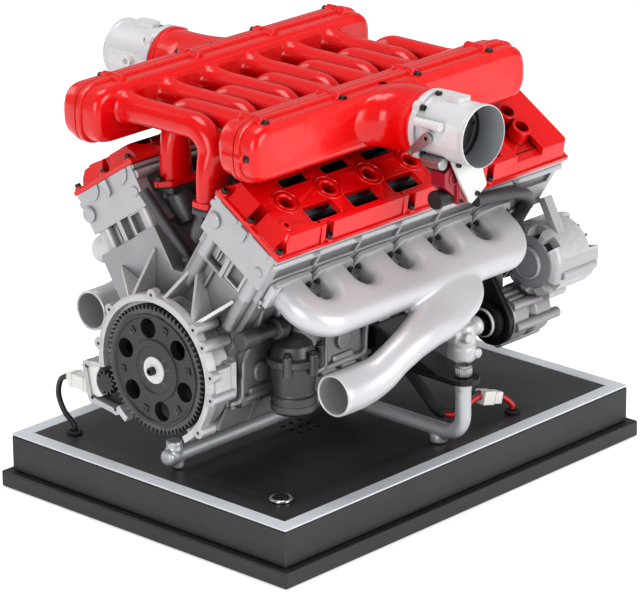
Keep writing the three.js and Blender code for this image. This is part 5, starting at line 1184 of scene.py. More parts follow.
def cover_slab(name, low, low_level, high, high_level, radius, place):
    """A block with sloping sides, between two rectangles with rounded corners."""
    return skinned(name, [[(u, v, level) for u, v in softened(rectangle(*sides), radius, steps=3)]
                          for sides, level in ((low, low_level), (high, high_level))], place)


def cover_pockets(front):
    places = [(front + 2, offset) for offset in (-23.6, -0.6, 23.6)]
    return places + [(front + 40 + 66 * index, side * 24.6) for index in range(3) for side in (-1, 1)]


def pocket_outline(x, offset, at_front):
    """The room round a cover screw: open to the front or to the cover's nearer side."""
    side = math.copysign(1, offset)
    if not at_front:
        return rectangle(x - 3, x + 3, *sorted((offset - side * 4.8, offset + side * 4)))
    if abs(offset) < 5:
        return rectangle(x - 4, x + 8.6, offset - 3.3, offset + 3.3)
    return rectangle(x - 4, x + 4.6, offset - 4, offset + 4)


def cover_shell(bank):
    """The red cover: a flat flange, sloping sides with pockets, and a raised box at the rear end."""
    front, place = BANKS[bank]["front"], bank_matrix(bank)
    shell = joined(block("flange", front, HEAD_BACK, -27, 27, 108.3, 110.8, place),
                   cover_slab("main", (front + 2.4, 116.4, -25.6, 25.6), 110.5,
                              (front + 8, 116.1, -21.4, 21.4), 120, 2.5, place),
                   cover_slab("box", (90, 116.4, -25.6, 25.6), 110.5, (93, 114.8, -22.3, 22.3), 120.3, 2.5,
                              place))
    tools = [cover_slab("hollow", (front + 10, 112, -19.4, 19.4), 108, (front + 14, 111, -18, 18), 117.5, 2,
                        place), prism("step", "z", softened(rectangle(73, 94, -2, 30), 2.5), 116.4, 124,
                                      place)]
    for x, offset in cover_pockets(front):
        outline = softened(pocket_outline(x, offset, x < front + 5), 1.6)
        tools.append(prism("pocket", "z", outline, 111.2, 124, place))
    cut(shell, *tools)
    tubes, tools = [block("step_floor", 70, 97, -4, 20.6, 113.6, 116.3, place)], []
    for x in (bore_x(bank, index) for index in range(6)):
        tools.append(rod("well", (x, 0, 100), (x, 0, 124), 5, 48, matrix=place))
    for offset in PORT_OFFSETS:
        tubes.append(turned("port", "z", (PORT_X, offset), [(0, 112), (6.4, 112), (6, 124.6), (5.6, 125),
                            (0, 125)], 48, place, 0.3))
        tools.append(rod("port_bore", (PORT_X, offset, 116), (PORT_X, offset, 128), 4.2, 36, matrix=place))
    oil = (front + 11.5, 14.2)
    tubes.append(turned("oil_boss", "z", oil, [(0, 117), (4, 117), (3.6, 120.6), (3.2, 120.9), (0, 120.9)],
                        40, place))
    tools.append(rod("oil_bore", (*oil, 118.6), (*oil, 124), 1.5, 24, matrix=place))
    for x, side in ((front + 33.6 + 66 * index, side) for index in range(3) for side in (-1, 1)):
        outline = [(side * 20, 119.8), (side * 21.6, 120.4), (side * 26.4, 111), (side * 24, 110)]
        tubes.append(prism("seam", "x", outline, x - 0.7, x + 0.7, place))
        tools.append(rod("dimple", (x - 0.5, side * 18.6, 119), (x - 0.5, side * 18.6, 122), 1, 16,
                         matrix=place))
    for x in (bore_x(bank, index) + 6 for index in range(5)):
        for low, high in ((8, 17), (-15.5, -9)):
            sill = softened(rectangle(x - 1.9, x + 22.9, low - 1.7, high + 1.7), 2.6)
            opening = softened(rectangle(x - 0.9, x + 21.9, low - 0.7, high + 0.7), 1.8)
            tubes.append(prism("sill", "z", sill, 117, 120.3, place))
            tools.append(prism("window", "z", opening, 107, 123, place))
    return cut(joined(shell, *tubes), *tools)


def cover_plugs_and_shade(bank):
    """What is dark under the cover: the plugs, and painted shade in matt black: port floors, a liner round
    the windows and sheets in the cams' troughs.
    """
    front, place = BANKS[bank]["front"], bank_matrix(bank)
    plug = [(0, 86), (2.4, 86), (2.4, 112), (3.3, 112.6), (3.3, 115), (2, 115.6), (0, 115.6)]
    pieces = [turned("plug", "z", (bore_x(bank, index), 0), plug, 28, place, 0.3) for index in range(6)]
    pieces += [rod("port_floor", (PORT_X, offset, 115.6), (PORT_X, offset, 117), 4.15, 24, matrix=place)
               for offset in PORT_OFFSETS]
    walls = [rectangle(front + 14.4, 110.6, side * 17.6 - 0.2, side * 17.6 + 0.2) for side in (-1, 1)]
    walls += [rectangle(x - 0.2, x + 0.2, -17.4, 17.4) for x in (front + 14.6, 110.4)]
    pieces += [prism("liner", "z", wall, 109, 116.9, place) for wall in walls]
    for offset in (-12.5, 12.5):
        arc = circle(offset, CAM_LEVEL, 7.12, 16, 180, 180) + circle(offset, CAM_LEVEL, 6.4, 16, 360, -180)
        pieces.append(prism("trough", "x", arc, front + 9.4, HEAD_BACK - 9.4, place))
    return pieces


def valve_cover(bank):
    place, pockets = bank_matrix(bank), cover_pockets(BANKS[bank]["front"])
    collar = [(3.7, 108.3), (5.2, 108.3), (5.2, 117), (8.7, 117), (8.7, 120.2), (8.3, 120.6), (7.8, 120.6),
              (7.5, 120.2), (6.1, 120.2), (5.8, 120.6), (4.8, 120.6), (3.7, 119.6)]
    collars = [ring_turned("collar", "z", (bore_x(bank, index), 0), collar, 56, place) for index in range(6)]
    settled(rounded(merged(cover_shell(bank)), 0.4, 2, 30), RED_ENAMEL, nodes=[f"valve_cover_{bank}"],
            angle=50)
    settled(gathered(f"cover_wells_{bank}", collars), RED_ENAMEL, angle=50)
    boss = [(0, 110.6), (2.7, 110.6), (2.7, 111.8), (2.3, 112.2), (0, 112.2)]
    bosses = [turned("boss", "z", point, boss, 28, place, 0.3) for point in pockets]
    settled(gathered(f"cover_bosses_{bank}", bosses), RED_ENAMEL)
    screws = [((x, offset, 112), (0, 0, 1), 1.75) for x, offset in pockets]
    screws += [((HEAD_BACK - 2.2, offset, 110.8), (0, 0, 1), 1.6) for offset in (-19, 19)]
    fasteners(f"cover_screws_{bank}", "screw", screws, BLACK_STEEL, matrix=place)
    # Painted shade: matt black port floors, window liners and trough sheets stand where the inside of the
    # cover lies in shade.
    settled(gathered(f"dark_inside_{bank}", cover_plugs_and_shade(bank)), MATT_BLACK)


# Exhaust

def manifold_outline(inset):
    """The manifold seen along the bores: six branches, the bays between them and round outer corners."""
    left, right = bore_x("near", 0) - 12.3 + inset, bore_x("near", 5) + 12.3 - inset
    outline = [(left, 20)]
    for index in range(5):
        middle = bore_x("near", index) + BORE_PITCH / 2 - 1
        outline.append((middle - 5.6 - inset, 20))
        outline += circle(middle, 37, 5.6 + inset, 16, 180, -180)
        outline.append((middle + 5.6 + inset, 20))
    corner = 25 - inset
    outline.append((right, 20))
    outline += circle(right - corner, 63.4 - inset - corner, corner, 10, 0, 90)
    outline += circle(left + corner, 63.4 - inset - corner, corner, 10, 90, 90)
    return outline


def coolant_hose():
    """The dark hose that runs along the near head above the manifold's rear end and down behind it."""
    line = curved([(40, 29, 103), (56, 30.5, 103), (72, 31.5, 101), (84, 32, 96), (93, 31.5, 88),
                   (97, 29.5, 79), (98, 27, 70)], 6)
    hose = swept("coolant_hose", line, [3.7] * len(line), (0, 1, 0), 32, bank_matrix("near"))
    settled(hose, GUNMETAL, angle=60)


def manifold_matrix(bank):
    """Places a shape drawn as (x, distance up the near bank, height off its outer face), for either bank."""
    sine, cosine = math.sin(BANK_TILT), math.cos(BANK_TILT)
    return mirrored(bank) @ Matrix(((1, 0, 0, 0), (0, -cosine, -sine, 0), (0, -sine, cosine, CRANK_HEIGHT),
                                    (0, 0, 0, 1)))


def manifold_body(bank):
    """A flat slab with rounded edges and the collector that runs out of it, melted together and bored."""
    place, tilt, rings = mirrored(bank), manifold_matrix(bank), []
    for angle in range(-90, 91, 15):
        level, inset = 78 + 8.3 * math.sin(math.radians(angle)), 8 * (1 - math.cos(math.radians(angle)))
        rings.append([(x, offset, level) for x, offset in manifold_outline(inset)])
    stations = [(6, 79.9, 134.4, 25, 7.6), (5, 84.8, 131, 25.5, 8), (3, 88.8, 127.2, 24.6, 8.6),
                (-3, 93.2, 122.6, 21.5, 9), (-12, 97.5, 117, 16.5, 9.5), (-26, 100.5, 112.5, 12.2, 10),
                (-40, 102, 108, 10.2, 10.2), (-53, 101.5, 102, 9.7, 10.4), (-64, 100, 95.8, 10.4, 10.8),
                (-78, 98, 92.6, 11.6, 11.6), (-97, 97.5, 92.4, 11.6, 11.6)]
    facing = Vector((0, -math.sin(math.radians(37)), math.cos(math.radians(37))))
    line = curved([(x, -y, z) for x, y, z, _, _ in stations], 5)
    sizes = between([(wide, thick) for _, _, _, wide, thick in stations], 5)
    collector = swept("collector", line, sizes, facing, 40, place, 0.82)
    body = cast(gathered(f"exhaust_manifold_{bank}", [skinned("slab", rings, tilt), collector]), 0.9, 16, 0.7)
    end, centre = place @ line[-1], (place @ line[-1]).yz
    return end, cut(body, block("head_side", -140, 110, 0, 27, 60, 100, tilt),
                    rod("face", (end.x - 8, *centre), (end.x, *centre), 16),
                    rod("bore", (end.x - 9, *centre), (end.x + 22, *centre), 10.3, 64))


def exhaust(bank):
    tilt = manifold_matrix(bank)
    end, body = manifold_body(bank)
    mouth = ring_turned("mouth", "x", end.yz, [(10.4, end.x - 0.1), (11.2, end.x - 0.6), (11.9, end.x + 0.1),
                        (11.9, end.x + 3), (10.4, end.x + 3)], 72, soft=0.3)
    settled(body, SATIN_SILVER, nodes=[f"exhaust_{bank}"], angle=50)
    settled(mouth, SATIN_SILVER)
    laid = tilt @ Matrix(((1, 0, 0, 0), (0, 0, 1, 0), (0, 1, 0, 0), (0, 0, 0, 1)))
    flanges, nuts = [], []
    for index in range(6):
        x = bore_x("near", index)
        outline = hull(rectangle(x - 12.6, x + 12.6, 71, 87.6) + circle(x - 13, 81, 3.2, 16)
                       + circle(x + 13, 81, 3.2, 16) + circle(x, 78, 10.4, 32))
        flanges.append(prism("flange", "z", outline, 25.3, 28.6, laid))
        nuts += [((x + side * 13.2, 28.6, 80.4), (0, 1, 0), 1.5) for side in (-1, 1) if index or side > 0]
    start = bore_x("near", 0)
    flanges.append(block("end_tab", start - 16.5, start - 11, 25.3, 29.6, 72, 86.6, tilt))
    settled(rounded(gathered(f"exhaust_flanges_{bank}", flanges), 0.4, 2), SATIN_SILVER)
    fasteners(f"exhaust_nuts_{bank}", "nut", nuts, BLACK_STEEL, matrix=tilt)


# Intake

def plenum_outline(margin):
    radius = 11 - margin / 2
    return softened(rectangle(-108.7 + margin, 114.3 - margin, 211 + margin, 242.5 - margin), radius * 1.25,
                    steps=8)


def plenum_skin(name, stations, place):
    """A shell through the plenum's outline, at places along Y with their margins."""
    return skinned(name, [[(x, y, z) for x, z in plenum_outline(margin)] for y, margin in stations], place)


LUG_PLACES = [(-93.7, 242.1), (-33.3, 242.1), (27.3, 242.1), (87.5, 242.1), (-107.6, 226)]
LID_LUG_PLACES = LUG_PLACES + [(-96, 213)]


def runner(x, place):
    """A runner from the tub over the valley and down to its foot, with the foot's flange."""
    down = (212, 208, 204, 200, 195, 190.5)
    profile = [(-34, RUNNER_LEVEL), (-10, RUNNER_LEVEL)] + tube_bend(8, 215.5, 14, 90, 0, 12)
    route = [(x, y, z) for y, z in profile + [(RUNNER_FOOT, level) for level in down]]
    flattening = [(7.2, 7.5), (7, 8), (6.8, 8.9), (6.7, 9.7), (6.7, 10.1)] + [(6.7, 10.2)] * 3
    sizes = [(7.3, 7.3)] * (len(route) - len(flattening)) + flattening
    flange = hull(softened(rectangle(x - 10.6, x + 10.6, 15.2, 28.8), 3.5)
                  + circle(x - 13.4, RUNNER_FOOT, 2.6, 18))
    return [swept("runner", route, sizes, (1, 0, 0), 48, place, 0.9),
            prism("foot", "z", flange, 187.3, 190.6, place)]


def plenum_tub(bank):
    place = intake_matrix(bank)
    body = plenum_skin("body", ((-56.7, 1.2), (-56.3, 0), (-47, 0), (-44.2, 0.9), (-42.6, 2.8), (-42, 5.5)),
                       place)
    rim = plenum_skin("rim", ((-56.85, -1), (-56.5, -1.6), (-54.2, -1.6), (-53.6, -0.8), (-53.6, 1)), place)
    lug = [(0, -56.7), (3.3, -56.7), (3.3, -48.6), (2.7, -47.8), (0, -47.8)]
    tub = joined(body, rim, *[turned("lug", "y", point, lug, 30, place, 0.4) for point in LUG_PLACES])
    cut(tub, plenum_skin("hollow", ((-59, 2.7), (-44.4, 2.7)), place))
    flare = [(0, -44), (10.2, -44), (10.2, -42.2), (9.7, -41.7), (9, -40.4), (8.3, -37.5), (7.8, -33.5),
             (7.45, -29), (7.3, -25), (0, -25)]
    places = [(runner_x(index), RUNNER_LEVEL) for index in range(6)]
    joined(tub, *[turned("mouth", "y", point, flare, 48, place, 0.4) for point in places])
    cut(tub, *[rod("bore", (x, -47, level), (x, -33, level), 4.9, 30, matrix=place) for x, level in places])
    settled(rounded(tub, 0.3, 2, 38), RED_ENAMEL, nodes=[f"plenum_tub_{bank}"], angle=55)
    pipes_and_feet = [piece for x, _ in places for piece in runner(x, place)]
    settled(rounded(gathered(f"runners_{bank}", pipes_and_feet), 0.3, 2, 40), RED_ENAMEL,
            angle=50)
    bolts = [((x - 13.2, RUNNER_FOOT, 190.6), (0, 0, 1), 1.9) for x, _ in places]
    fasteners(f"runner_screws_{bank}", "screw", bolts, BLACK_STEEL, matrix=place)


def plenum_lid(bank):
    place = intake_matrix(bank)
    body = plenum_skin("lid", ((-57.15, 1), (-57.5, 0), (-66, 0.2), (-68.2, 1), (-69.9, 2.6), (-70.6, 5)),
                       place)
    rim = plenum_skin("rim", ((-60.4, 1), (-60.4, -0.8), (-59.8, -1.6), (-57.5, -1.6), (-57.15, -1)), place)
    lug = [(0, -63.6), (2.8, -63.6), (3.4, -62.8), (3.4, -57.3), (0, -57.3)]
    lugs = [turned("lug", "y", point, lug, 30, place, 0.4) for point in LID_LUG_PLACES]
    stations = [(-60, 44, 15.6), (-66.5, 41, 16.2), (-70, 34, 16.8), (-73, 27, 17.4), (-77, 21.5, 18),
                (-82, 18.8, 18.3), (-96.7, 18.3, 18.3)]
    line = curved([(NECK[0], y, NECK[1]) for y, _, _ in stations], 5)
    neck = swept("neck", line, between([(wide, high) for _, wide, high in stations], 5), (0, 0, 1), 64, place)
    lip = turned("lip", "y", NECK, [(0, -96.7), (18.9, -96.7), (19.3, -96.2), (19.3, -93.6), (18.6, -93),
                 (0, -93)], 72, place, 0.3)
    lid = cut(joined(body, rim, neck, lip, *lugs), plenum_skin("hollow", ((-68.2, 6.9), (-55, 6.9)), place),
              rod("bore", (NECK[0], -99, NECK[1]), (NECK[0], -55, NECK[1]), 16, 64, matrix=place))
    settled(rounded(lid, 0.3, 2, 36), RED_ENAMEL, nodes=[f"plenum_lid_{bank}"], angle=55)
    screws = [((x, -63.8, z), (0, -1, 0), 2.1) for x, z in LID_LUG_PLACES]
    fasteners(f"plenum_screws_{bank}", "screw", screws, BLACK_STEEL, matrix=place)


def lower_intake(bank):
    """The dark casting under one intake's runners: a rail and six elbows that lead into the head."""
    side = BANKS[bank]["side"]
    across = side * RUNNER_FOOT
    places = [INTAKE_CENTRE + side * runner_x(index) for index in range(6)]
    rail = softened(rectangle(min(places) - 10.5, max(places) + 10.5, across - 7, across + 7), 3)
    pieces = [prism("rail", "z", rail, 183, 187)]
    for x in places:
        line = curved([(x, side * y, z) for y, z in ((22, 185), (21, 180), (18.5, 176), (14.5, 170),
                                                     (11.8, 165.8))], 3)
        pieces.append(swept("elbow", line, between([7.2, 7.8, 8, 7, 5.6], 3), (1, 0, 0), 28))
        pieces += [rod("bolt_boss", (x + step, across, 179), (x + step, across, 184), 2.3, 16)
                   for step in (-8.19, 8.19)]
    wall = block("head_wall", -130, 124, -25.4, 10, 60, 140, bank_matrix(bank))
    body = cut(cast(gathered(f"lower_manifold_{bank}", pieces), 0.8, 2), wall)
    settled(body, GUNMETAL, nodes=[f"lower_intake_{bank}"], angle=60)


# Throttle bodies

def throttle_body(bank):
    place, (x, z) = intake_matrix(bank), NECK
    profile = [(15.5, -134), (17.3, -134), (17.6, -133.8), (17.6, -131.4), (17.2, -130.6), (17.2, -103),
               (17.5, -101), (19.6, -100.8), (19.6, -97.3), (19.3, -97), (15.5, -97)]
    drum = ring_turned("throttle_drum", "y", NECK, profile, 88, place, 0.35)
    pieces = []
    for side in (-1, 1):
        inner, middle, face, tip = ((x + side * reach, THROTTLE_SHAFT, z) for reach in (14, 16, 17.6, 20))
        pieces.append(rod("boss", middle, tip, 3.6, 36, 3.4, place))
        pieces.append(rod("boss_foot", inner, face, 5.2, 36, 4.2, place))
    ears = [polar(NECK, 18.2, angle) for angle in NECK_SCREW_ANGLES]
    ear = [(0, -101.4), (3.1, -101.4), (3.1, -97.2), (0, -97.2)]
    pieces += [turned("ear", "y", point, ear, 28, place, 0.3) for point in ears]
    pieces.append(prism("seat", "z", softened(rectangle(x - 4.6, x + 4.6, -122, -107), 3), 241, 246.1, place))
    pieces.append(rod("spring_tube", (x - 19.4, -120.5, 233.6), (x - 19.4, -103, 233.6), 2.5, 32,
                      matrix=place))
    pieces.append(rod("tube_foot", (x - 14, -112, 231), (x - 19.4, -112, 233.4), 3, 24, 2.3, place))
    joined(drum, *pieces)
    bore = [(0, -140), (17.1, -140), (17.1, -134), (16.5, -126), (16, -120), (16, -90), (0, -90)]
    cut(drum, turned("bore", "y", NECK, bore, 80, place),
        rod("shaft_bore", (x - 22, THROTTLE_SHAFT, z), (x + 22, THROTTLE_SHAFT, z), 1.6, 24, matrix=place))
    settled(rounded(drum, 0.3, 2, 40), BRIGHT_SILVER, nodes=[f"throttle_body_{bank}"])
    # Painted shade: a matt black ring in the bore where the gap round the closed plate lies in shade.
    profile = [(15.3, -117.4), (16.1, -117.4), (16.1, -115.7), (15.3, -115.7)]
    gap_shade = ring_turned(f"throttle_seal_{bank}", "y", NECK, profile, 72, place)
    settled(gap_shade, MATT_BLACK)
    # Painted shade: a darker grey sheet over the bore's wall in front of the plate, where the inside of the
    # bore lies in shade.
    profile = [(16.9, -133.7), (17.05, -133.7), (16.45, -126), (15.97, -120), (15.97, -114.2),
               (15.85, -114.2), (15.85, -120), (16.3, -126)]
    bore_shade = ring_turned(f"throttle_lining_{bank}", "y", NECK, profile, 80, place)
    settled(bore_shade, PLATE_GREY)
    screws = [((u, -101.4, v), (0, -1, 0), 1.7) for u, v in ears]
    fasteners(f"throttle_screws_{bank}", "screw", screws, BLACK_STEEL, matrix=place)
    stop = [((x, -101.4, 243.9), (0, -1, 0), 1.9)]
    fasteners(f"throttle_stop_{bank}", "screw", stop, BLACK_STEEL, matrix=place)


def throttle_plate(bank):
    place, body, (x, z) = intake_matrix(bank), f"throttle_{bank}", NECK
    disc = [(0, -113.6), (15.5, -113.6), (15.5, -112.4), (0, -112.4)]
    outline = hull(circle(THROTTLE_SHAFT, z, 3.1, 24) + circle(-101.5, 217, 1.9, 18))
    pieces = [turned("disc", "y", NECK, disc, 80, place),
              rod("shaft", (x - 23, THROTTLE_SHAFT, z), (x + 20, THROTTLE_SHAFT, z), 1.3, 24, matrix=place),
              prism("lever", "x", outline, x - 23, x - 21, place),
              rod("lever_pin", (x - 23.9, -101.5, 217), (x - 20.6, -101.5, 217), 1.1, 16, matrix=place)]
    valve = rounded(gathered(f"throttle_valve_{bank}", pieces), 0.2, 2, 40)
    settled(valve, TURNED_STEEL, body, [f"throttle_plate_{bank}"])
    screws = [((x + side * 6.5, -113.6, z), (0, -1, 0), 1.1) for side in (-1, 1)]
    fasteners(f"throttle_valve_screws_{bank}", "screw", screws, BLACK_STEEL, body, 0.8, place)


def throttle_side_plate():
    """The pale plate beside the near throttle, left bare, with its folded foot and screws."""
    corners = [(-26.9, 213.3), (-19.3, 198.3), (-10.9, 184), (2.6, 192.3), (-0.9, 200.7), (-3, 215)]
    foot = [(-24.5, 213.8), (-4.4, 215.2), (-4.2, 216.6), (-24.9, 215.3)]
    pieces = [prism("plate", "y", softened(corners, 2.2), -120, -118.2),
              prism("fold", "y", softened(foot, 0.4), -120, -110.5)]
    room = rod("drum_room", (-17, -140, NECK[1]), (-17, -90, NECK[1]), 17.4, 96)
    piece = rounded(cut(gathered("throttle_side_plate", pieces), room), 0.3, 2)
    settled(piece, TAPE_WHITE)
    screws = [((x, -120, z), (0, -1, 0), radius) for x, z, radius in
              ((-21.8, 209, 1.4), (-6.3, 189.4, 1.4), (-3.4, 210.6, 1.2))]
    fasteners("side_plate_screws", "screw", screws, BLACK_STEEL)


def throttle_actuator():
    place = intake_matrix("near")
    gear = hull(circle(-1.5, 200.6, 8, 6, 30) + [(3, 187), (10, 187), (12, 198)])
    dish = [(2.6, -117), (4, -117), (4, -115.8), (2.6, -115.8)]
    pieces = [prism("box", "y", softened(rectangle(-0.2, 16.8, 184.8, 199.8), 2.4), -117.7, -102.7, place),
              prism("lid", "y", softened(rectangle(0.8, 15.8, 185.8, 198.8), 2.2), -118.2, -117.5, place),
              prism("gearcase", "y", gear, -116.2, -106, place),
              ring_turned("dish", "y", (-1.5, 200.6), dish, 32, place)]
    case = rounded(gathered("actuator_case", pieces), 0.6, 3)
    settled(case, RED_MOULDING, nodes=["throttle_actuator"])
    plug = [rod("plug", (-10, -110.2, 188.8), (1, -110.2, 188.8), 4.4, 40, 4.8, place),
            rod("collar", (-10.4, -110.2, 188.8), (-7.4, -110.2, 188.8), 5.2, 40, matrix=place)]
    settled(rounded(gathered("actuator_plug", plug), 0.4, 2), MATT_BLACK)
    profile = [(0, -117), (3.2, -117), (3.6, -116.4), (3.6, -103.6), (3.2, -103), (0, -103)]
    can = turned("actuator_motor", "y", (-10.5, 210.6), profile, 40, place, 0.3)
    settled(can, TURNED_STEEL)
    screws = [((x, -118.1, z), (0, -1, 0), 1.1) for x in (2.2, 14.4) for z in (187.2, 197.4)]
    fasteners("actuator_screws", "screw", screws, BLACK_STEEL, matrix=place)


# Alternator, compressor and coolant pump

def alternator_room():
    """What is cut from the alternator's case: the seat, pockets, wedge, fan room and vents."""
    tools = [turned("plate_seat", "x", ALTERNATOR, [(0, 99), (15.8, 99), (15.8, 103), (0, 103)], 64)]
    for angle, radius, depth in ((65, 4.3, 110.5), (101, 4.3, 110.5), (-60, 3.6, 110.5), (-95, 3.2, 110.5),
                                 (-25, 4, 110.5), (20, 4, 110.5), (174, 2.5, 112)):
        centre = polar(ALTERNATOR, 18.2, angle)
        tools.append(rod("pocket", (98, *centre), (depth, *centre), radius, 30))
    for angle in (137, -140):
        outline = [polar(ALTERNATOR, reach, angle + turn) for reach,
                   turn in ((14.6, -11), (14.6, 11), (23, 9), (23, -9))]
        tools.append(prism("long_pocket", "x", softened(outline, 1.2), 98, 109.5))
    outline = [polar(ALTERNATOR, 13, angle) for angle in (85, 125, 165)]
    outline += [polar(ALTERNATOR, 30, angle) for angle in range(165, 84, -8)]
    tools.append(prism("wedge", "x", outline, 132.6, 144))
    room = [(3.4, 130.5), (18.4, 130.5), (18.4, 139.8), (3.4, 139.8)]
    tools.append(ring_turned("fan_room", "x", ALTERNATOR, room, 72))
    for centre in (polar(ALTERNATOR, 10.4, 30 * index) for index in range(12)):
        tools.append(rod("vent", (138, *centre), (143, *centre), 1.9, 24))
    return tools


def alternator():
    profile = [(0, 102), (16.8, 102), (17.4, 102.2), (19.4, 103.4), (20.6, 105.2), (21, 107.4), (21, 139),
               (19.9, 141.3), (0, 141.3)]
    nose = cut(turned("alternator_nose", "x", ALTERNATOR, profile, 96, soft=0.5), *alternator_room())
    settled(rounded(nose, 0.35, 2, 40), ALTERNATOR_SILVER, nodes=["alternator_body"])
    profile = [(0, 103.4), (15, 103.4), (15, 112), (19.2, 112), (19.2, 113.4), (0, 113.4)]
    settled(turned("alternator_core", "x", ALTERNATOR, profile, 64), DARK_INSIDE)
    profile = [(0, 100.2), (8, 100.2), (8, 102.1), (15.6, 102.6), (15.6, 104), (0, 104)]
    plate = turned("alternator_plate", "x", ALTERNATOR, profile, 80, soft=0.3)
    settled(plate, PLATE_GREY)
    profile = [(8.1, 99.9), (8.8, 99.5), (10, 100.4), (10, 103), (8.1, 103)]
    pieces = [ring_turned("alternator_ring", "x", ALTERNATOR, profile, 72, soft=0.3)]
    for angle, reach in ((-165, 138), (-60, 138), (60, 130)):
        profile = [(0, 108), (2.7, 108), (2.7, reach - 0.6), (2.2, reach), (0, reach)]
        pieces.append(turned("lug", "x", polar(ALTERNATOR, 20.4, angle), profile, 28, soft=0.3))
    lower, upper = Vector(bank_point(-1, 28.1, 79)), Vector((-77.1, 125.5))
    run = (upper - lower).normalized() * 2.5
    across = Vector((-run.y, run.x))
    strut = [tuple(point) for point in (lower + across, lower - across, upper - across, upper + across)]
    pieces.append(prism("strut", "x", strut, 113.3, 120.2))
    lugs = rounded(gathered("alternator_lugs", pieces), 0.3, 2, 40)
    settled(lugs, ALTERNATOR_SILVER)
    profile = [(0, 108), (3.4, 108), (3.4, 123), (3, 123.6), (0, 123.6)]
    foot = turned("alternator_foot", "x", polar(ALTERNATOR, 20.8, -112), profile, 30, soft=0.3)
    settled(foot, ALTERNATOR_SILVER)


def alternator_rotor():
    pieces = [rod("shaft", (104, *ALTERNATOR), (141.2, *ALTERNATOR), 3, 32),
              turned("fan_disc", "x", ALTERNATOR, [(0, 130.8), (16.8, 130.8), (16.8, 132.4), (0, 132.4)], 64)]
    blades, lean = 14, 0.09
    for index in range(blades):
        line = [polar((0, 0), radius, 360 / blades * index + bend) for radius, bend in
                ((8.5, 0), (12.6, 7), (16.8, 10))]
        edge = [(ALTERNATOR[0] + u, ALTERNATOR[1] + v) for u, v in line]
        back = [(ALTERNATOR[0] + u - v * lean, ALTERNATOR[1] + v + u * lean) for u, v in reversed(line)]
        pieces.append(prism("blade", "x", edge + back, 132.2, 138.9))
    settled(gathered("alternator_fan", pieces), BLACK_STEEL, "alternator_rotor", ["alternator_rotor"])


def compressor():
    profile = [(0, 89.3), (15.2, 89.3), (15.6, 90), (15.6, 101.6), (15.2, 102.4), (12.5, 105.2),
               (12.5, 105.8), (15.2, 108.6), (15.6, 109.4), (15.6, 121.2), (15.2, 121.9), (12.8, 124.6),
               (11.5, 125), (0, 125)]
    pieces = [turned("compressor_case", "x", COMPRESSOR, profile, 88, soft=0.4)]
    for angle, reach in ((142, 117), (-170, 128), (-95, 126)):
        profile = [(0, 90), (3.2, 90), (3.2, reach - 0.6), (2.7, reach), (0, reach)]
        pieces.append(turned("boss", "x", polar(COMPRESSOR, 15.2, angle), profile, 32, soft=0.3))
    pieces.append(block("arm", 105.5, 116, COMPRESSOR[0], -36.6, COMPRESSOR[1], 83.4))
    for angle in (97, 112, 127):
        rib = polar(COMPRESSOR, 15.4, angle)
        pieces.append(rod("cooling_rib", (90, *rib), (103, *rib), 1.5, 18))
    piece = rounded(gathered("compressor_body_casting", pieces), 0.35, 2, 40)
    settled(piece, CASTING_GREY_PALE, nodes=["compressor_body"])
    plate = rounded(copied("compressor_plate", "compressor_front_plate"), 0.5, 2)
    settled(plate, BLACK_STEEL, nodes=["compressor_plate"])
    profile = [(0, 78), (8.2, 78), (8.5, 78.4), (8.5, 81), (11.5, 81.4), (11.5, 84.7), (0, 84.7)]
    groove = [(4.6, 77), (6.8, 77), (6.8, 78.9), (4.6, 78.9)]
    hub = cut(turned("compressor_hub_disc", "x", COMPRESSOR, profile, 80, soft=0.2),
              ring_turned("groove", "x", COMPRESSOR, groove, 64))
    shaft = rod("shaft", (71.5, *COMPRESSOR), (124, *COMPRESSOR), 2.5, 32)
    settled(hub, BLACK_STEEL, "compressor_rotor")
    settled(shaft, TURNED_STEEL, "compressor_rotor", ["compressor_hub"])
    profile = [(7.7, 77.7), (8.6, 77.7), (8.6, 79.4), (7.7, 79.4)]
    ring = ring_turned("compressor_hub_ring", "x", COMPRESSOR, profile, 72, soft=0.25)
    settled(ring, BRIGHT_SILVER, "compressor_rotor")


def coolant_pump():
    x, y = 60.5, COMPRESSOR[0]
    tower = [(0, 57.5), (6.8, 57.5), (8.1, 58.8), (8.4, 60), (8.4, 66), (8, 66.5), (8, 68), (8.4, 68.5),
             (8.4, 78.8), (7.6, 80.4), (6, 81), (0, 81)]
    barrel = [(0, 50), (4.4, 50), (5.2, 50.8), (5.2, 70.5), (5.8, 71), (5.8, 73.4), (5.2, 74), (0, 74)]
    dome = [(0, 78), (5, 78), (5, 86.4), (3.6, 88), (0, 88.4)]
    boss = [(0, y - 9.6), (2.7, y - 9.6), (3.1, y - 9), (3.1, y), (0, y)]
    pieces = [turned("tower", "z", (x, y), tower, 56, soft=0.4),
              turned("barrel", "x", COMPRESSOR, barrel, 44, soft=0.3),
              rod("arm", (x, y, 83.8), (x, -36.6, 83.8), 4.9, 36),
              turned("dome", "z", (x, y), dome, 40, soft=0.8)]
    pieces += [turned("boss", "y", (x + offset, z), boss, 28, soft=0.3) for offset,
               z in ((-4.2, 74), (4.4, 62.6))]
    piece = cast(gathered("coolant_pump_casting", pieces), 0.6, 2)
    settled(piece, BRIGHT_SILVER, nodes=["coolant_pump"], angle=55)


# Leads

